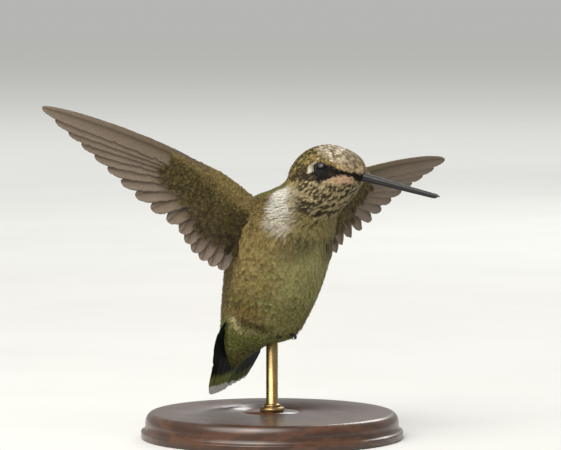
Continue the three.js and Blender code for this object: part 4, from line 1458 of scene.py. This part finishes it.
def wood_material():
    """Dark turned walnut with growth rings running through it, under a thin satin varnish."""
    nodes = Nodes("walnut")
    place = nodes.add("ShaderNodeTexCoord").outputs["Object"]
    tilted = nodes.add("ShaderNodeMapping", place, Rotation=(0.1, 1.45, 0.35), Location=(0.02, 0.011, 0.03))
    rings = nodes.add(
        "ShaderNodeTexWave", tilted.outputs["Vector"], wave_type="RINGS", rings_direction="Z",
        Scale=120.0, Distortion=5.0, Detail=4.0, Detail_Scale=2.0,
    )
    stops = ((0.0, colour("3c2314")), (0.6, colour("472a18")), (1.0, colour("55341f")))
    grain = nodes.spots((160.0, 5200.0, 5200.0), 6.0, 0.65)
    nodes.bump(grain, 0.12, 0.0001)
    shade = nodes.ranged(grain, 0.35, 0.65, 0.72, 1.15)
    tint = nodes.shaded(nodes.ramp(rings.outputs["Fac"], *stops), shade)
    gloss = nodes.ranged(grain, 0.3, 0.7, 0.28, 0.42)
    return nodes.finish(tint, gloss, Coat_Weight=0.35, Coat_Roughness=0.18)


def brass_material():
    """Satin brass, brushed around the rod and slightly tarnished."""
    nodes = Nodes("satin_brass")
    brushed = nodes.spots((300.0, 300.0, 9000.0), 3.0, 0.6)
    nodes.bump(brushed, 0.15, 0.00005)
    tint = nodes.ramp(nodes.spots(260.0, 4.0), (0.3, colour("7d6540")), (0.7, colour("b39a68")))
    return nodes.finish(tint, nodes.ranged(brushed, 0.3, 0.7, 0.22, 0.42), Metallic=1.0)


def build_stand():
    """A round turned base with a stepped rim, and a rod with a small collar at its foot."""
    top = BASE_RADIUS - 0.9
    profile = [(0.4, 0.0), (BASE_RADIUS - 0.4, 0.0)]
    profile += arc((BASE_RADIUS - 0.4, 0.4), (0.4, 0.4), -70, 0, 5)
    profile += arc((BASE_RADIUS - 0.35, 1.4), (0.35, 0.3), 0, 80, 6)
    profile += [(top, 2.15)]
    profile += arc((top - 1.65, BASE_HEIGHT - 2.3), (1.65, 2.3), 0, 90, 16)
    profile += arc((6.2, BASE_HEIGHT), (0.35, 0.22), 0, -180, 7)
    profile += [(0.4, BASE_HEIGHT)]
    base = make_mesh("base_turned", *lathe(profile))
    dress(base, wood_material(), "stand_wood", "stand_base")
    foot = BASE_HEIGHT + 0.02
    profile = [(0.2, foot), (2.5, foot)] + arc((2.3, foot + 0.5), (0.4, 0.5), -60, 80, 9)
    profile += [(1.9, foot + 1.05)] + arc((1.5, foot + 1.35), (0.35, 0.3), -50, 90, 7)
    profile += [(ROD_RADIUS, foot + 1.75), (ROD_RADIUS, ROD_TOP - 0.3)]
    profile += arc((ROD_RADIUS - 0.3, ROD_TOP - 0.3), (0.3, 0.3), 10, 90, 5) + [(0.2, ROD_TOP)]
    rod = make_mesh("rod_brass", *lathe(profile, 64))
    dress(rod, brass_material(), "stand_brass", "stand_rod")


build_stand()


# -------- floor, light and camera
VIEW_TURN = math.radians(45.0)  # the camera stands this far round from the bird's right side
VIEW_RISE = math.radians(3.5)  # and looks down by this much
VIEW_DISTANCE = 700.0
VIEW_SHIFT = (0.75, 8.5)  # the middle of the picture, right of and above the trunk's middle
LENS = 211.0


def view_axes():
    """Unit vectors to the camera's right, back towards it and up."""
    right = Vector((math.cos(VIEW_TURN), math.sin(VIEW_TURN), 0.0))
    level = Vector((math.sin(VIEW_TURN), -math.cos(VIEW_TURN), 0.0))
    back = level * math.cos(VIEW_RISE) + Vector((0.0, 0.0, math.sin(VIEW_RISE)))
    return right, back, back.cross(right)


def build_camera():
    """A long lens, from far off."""
    right, back, up = view_axes()
    target = Vector(TRUNK) + right * VIEW_SHIFT[0] + up * VIEW_SHIFT[1]
    camera = add_object("camera", bpy.data.cameras.new("camera"))
    camera.data.lens = LENS
    camera.data.sensor_width = 36.0
    camera.data.clip_start = 0.01
    camera.matrix_world = Matrix((right, up, back)).transposed().to_4x4()
    camera.location = (target + back * VIEW_DISTANCE) * MM
    bpy.context.scene.camera = camera


def add_light(name, place, size, power, tint):
    """A soft round lamp aimed at the bird; its place is right, up and back as the camera sees."""
    right, back, up = view_axes()
    aim = Vector(TRUNK) * MM
    lamp = bpy.data.lights.new(name, "AREA")
    lamp.shape = "DISK"
    lamp.size = size
    lamp.energy = power
    lamp.color = tint
    light = add_object(name, lamp)
    light.location = aim + right * place[0] + up * place[1] + back * place[2]
    light.rotation_euler = (light.location - aim).to_track_quat("Z", "Y").to_euler()


STUDIO_TINT = (0.93, 0.94, 0.91)
STUDIO_GLOW = 0.5
FLOOR_REACH = 15.0  # metres to its edges
FLOOR_GLOW = 0.42
HORIZON_GLOW = 0.18


def build_stage():
    """A wide pale floor that passes into the same pale studio light far from the bird."""
    bpy.ops.mesh.primitive_plane_add(size=2 * FLOOR_REACH, location=(0, 0, 0))
    floor = bpy.context.object
    floor.name = "floor"
    nodes = Nodes("pale_floor")
    place = nodes.add("ShaderNodeNewGeometry").outputs["Position"]
    distance = nodes.add("ShaderNodeVectorMath", place, operation="LENGTH").outputs["Value"]
    nearness = nodes.add("ShaderNodeMath", operation="DIVIDE")
    nearness.inputs[0].default_value = 1.0
    nodes.join(distance, nearness.inputs[1])
    near_glow = nodes.ranged(distance, 0.25, 1.5, 0.0, FLOOR_GLOW, "SMOOTHSTEP")
    drop = FLOOR_GLOW - HORIZON_GLOW
    far_drop = nodes.ranged(nearness.outputs["Value"], 1 / FLOOR_REACH, 0.6, drop, 0.0, "SMOOTHSTEP")
    glow = nodes.add("ShaderNodeMath", near_glow, operation="SUBTRACT")
    nodes.join(far_drop, glow.inputs[1])
    nodes.join(glow.outputs["Value"], nodes.shader.inputs["Emission Strength"])
    paint = nodes.ramp(nodes.spots(14.0, 3.0), (0.3, (0.62, 0.62, 0.605)), (0.7, (0.65, 0.65, 0.635)))
    light = (*STUDIO_TINT, 1.0)
    nodes.finish(paint, Emission_Color=light, Roughness=0.9, Specular_IOR_Level=0.0)
    floor.data.materials.append(nodes.material)
    world = bpy.data.worlds.new("studio")
    world.use_nodes = True
    background = world.node_tree.nodes["Background"].inputs
    background["Color"].default_value = light
    background["Strength"].default_value = STUDIO_GLOW
    bpy.context.scene.world = world
    add_light("key", (-0.35, 0.85, 0.6), 1.2, 15.0, (1.0, 0.98, 0.94))
    add_light("sparkle", (-0.28, 0.85, 0.65), 0.35, 3.0, (1.0, 0.96, 0.9))
    add_light("rim", (0.3, 0.6, -0.7), 0.4, 3.0, (1.0, 1.0, 0.98))
    bpy.context.scene.view_settings.view_transform = "Standard"


build_camera()
build_stage()
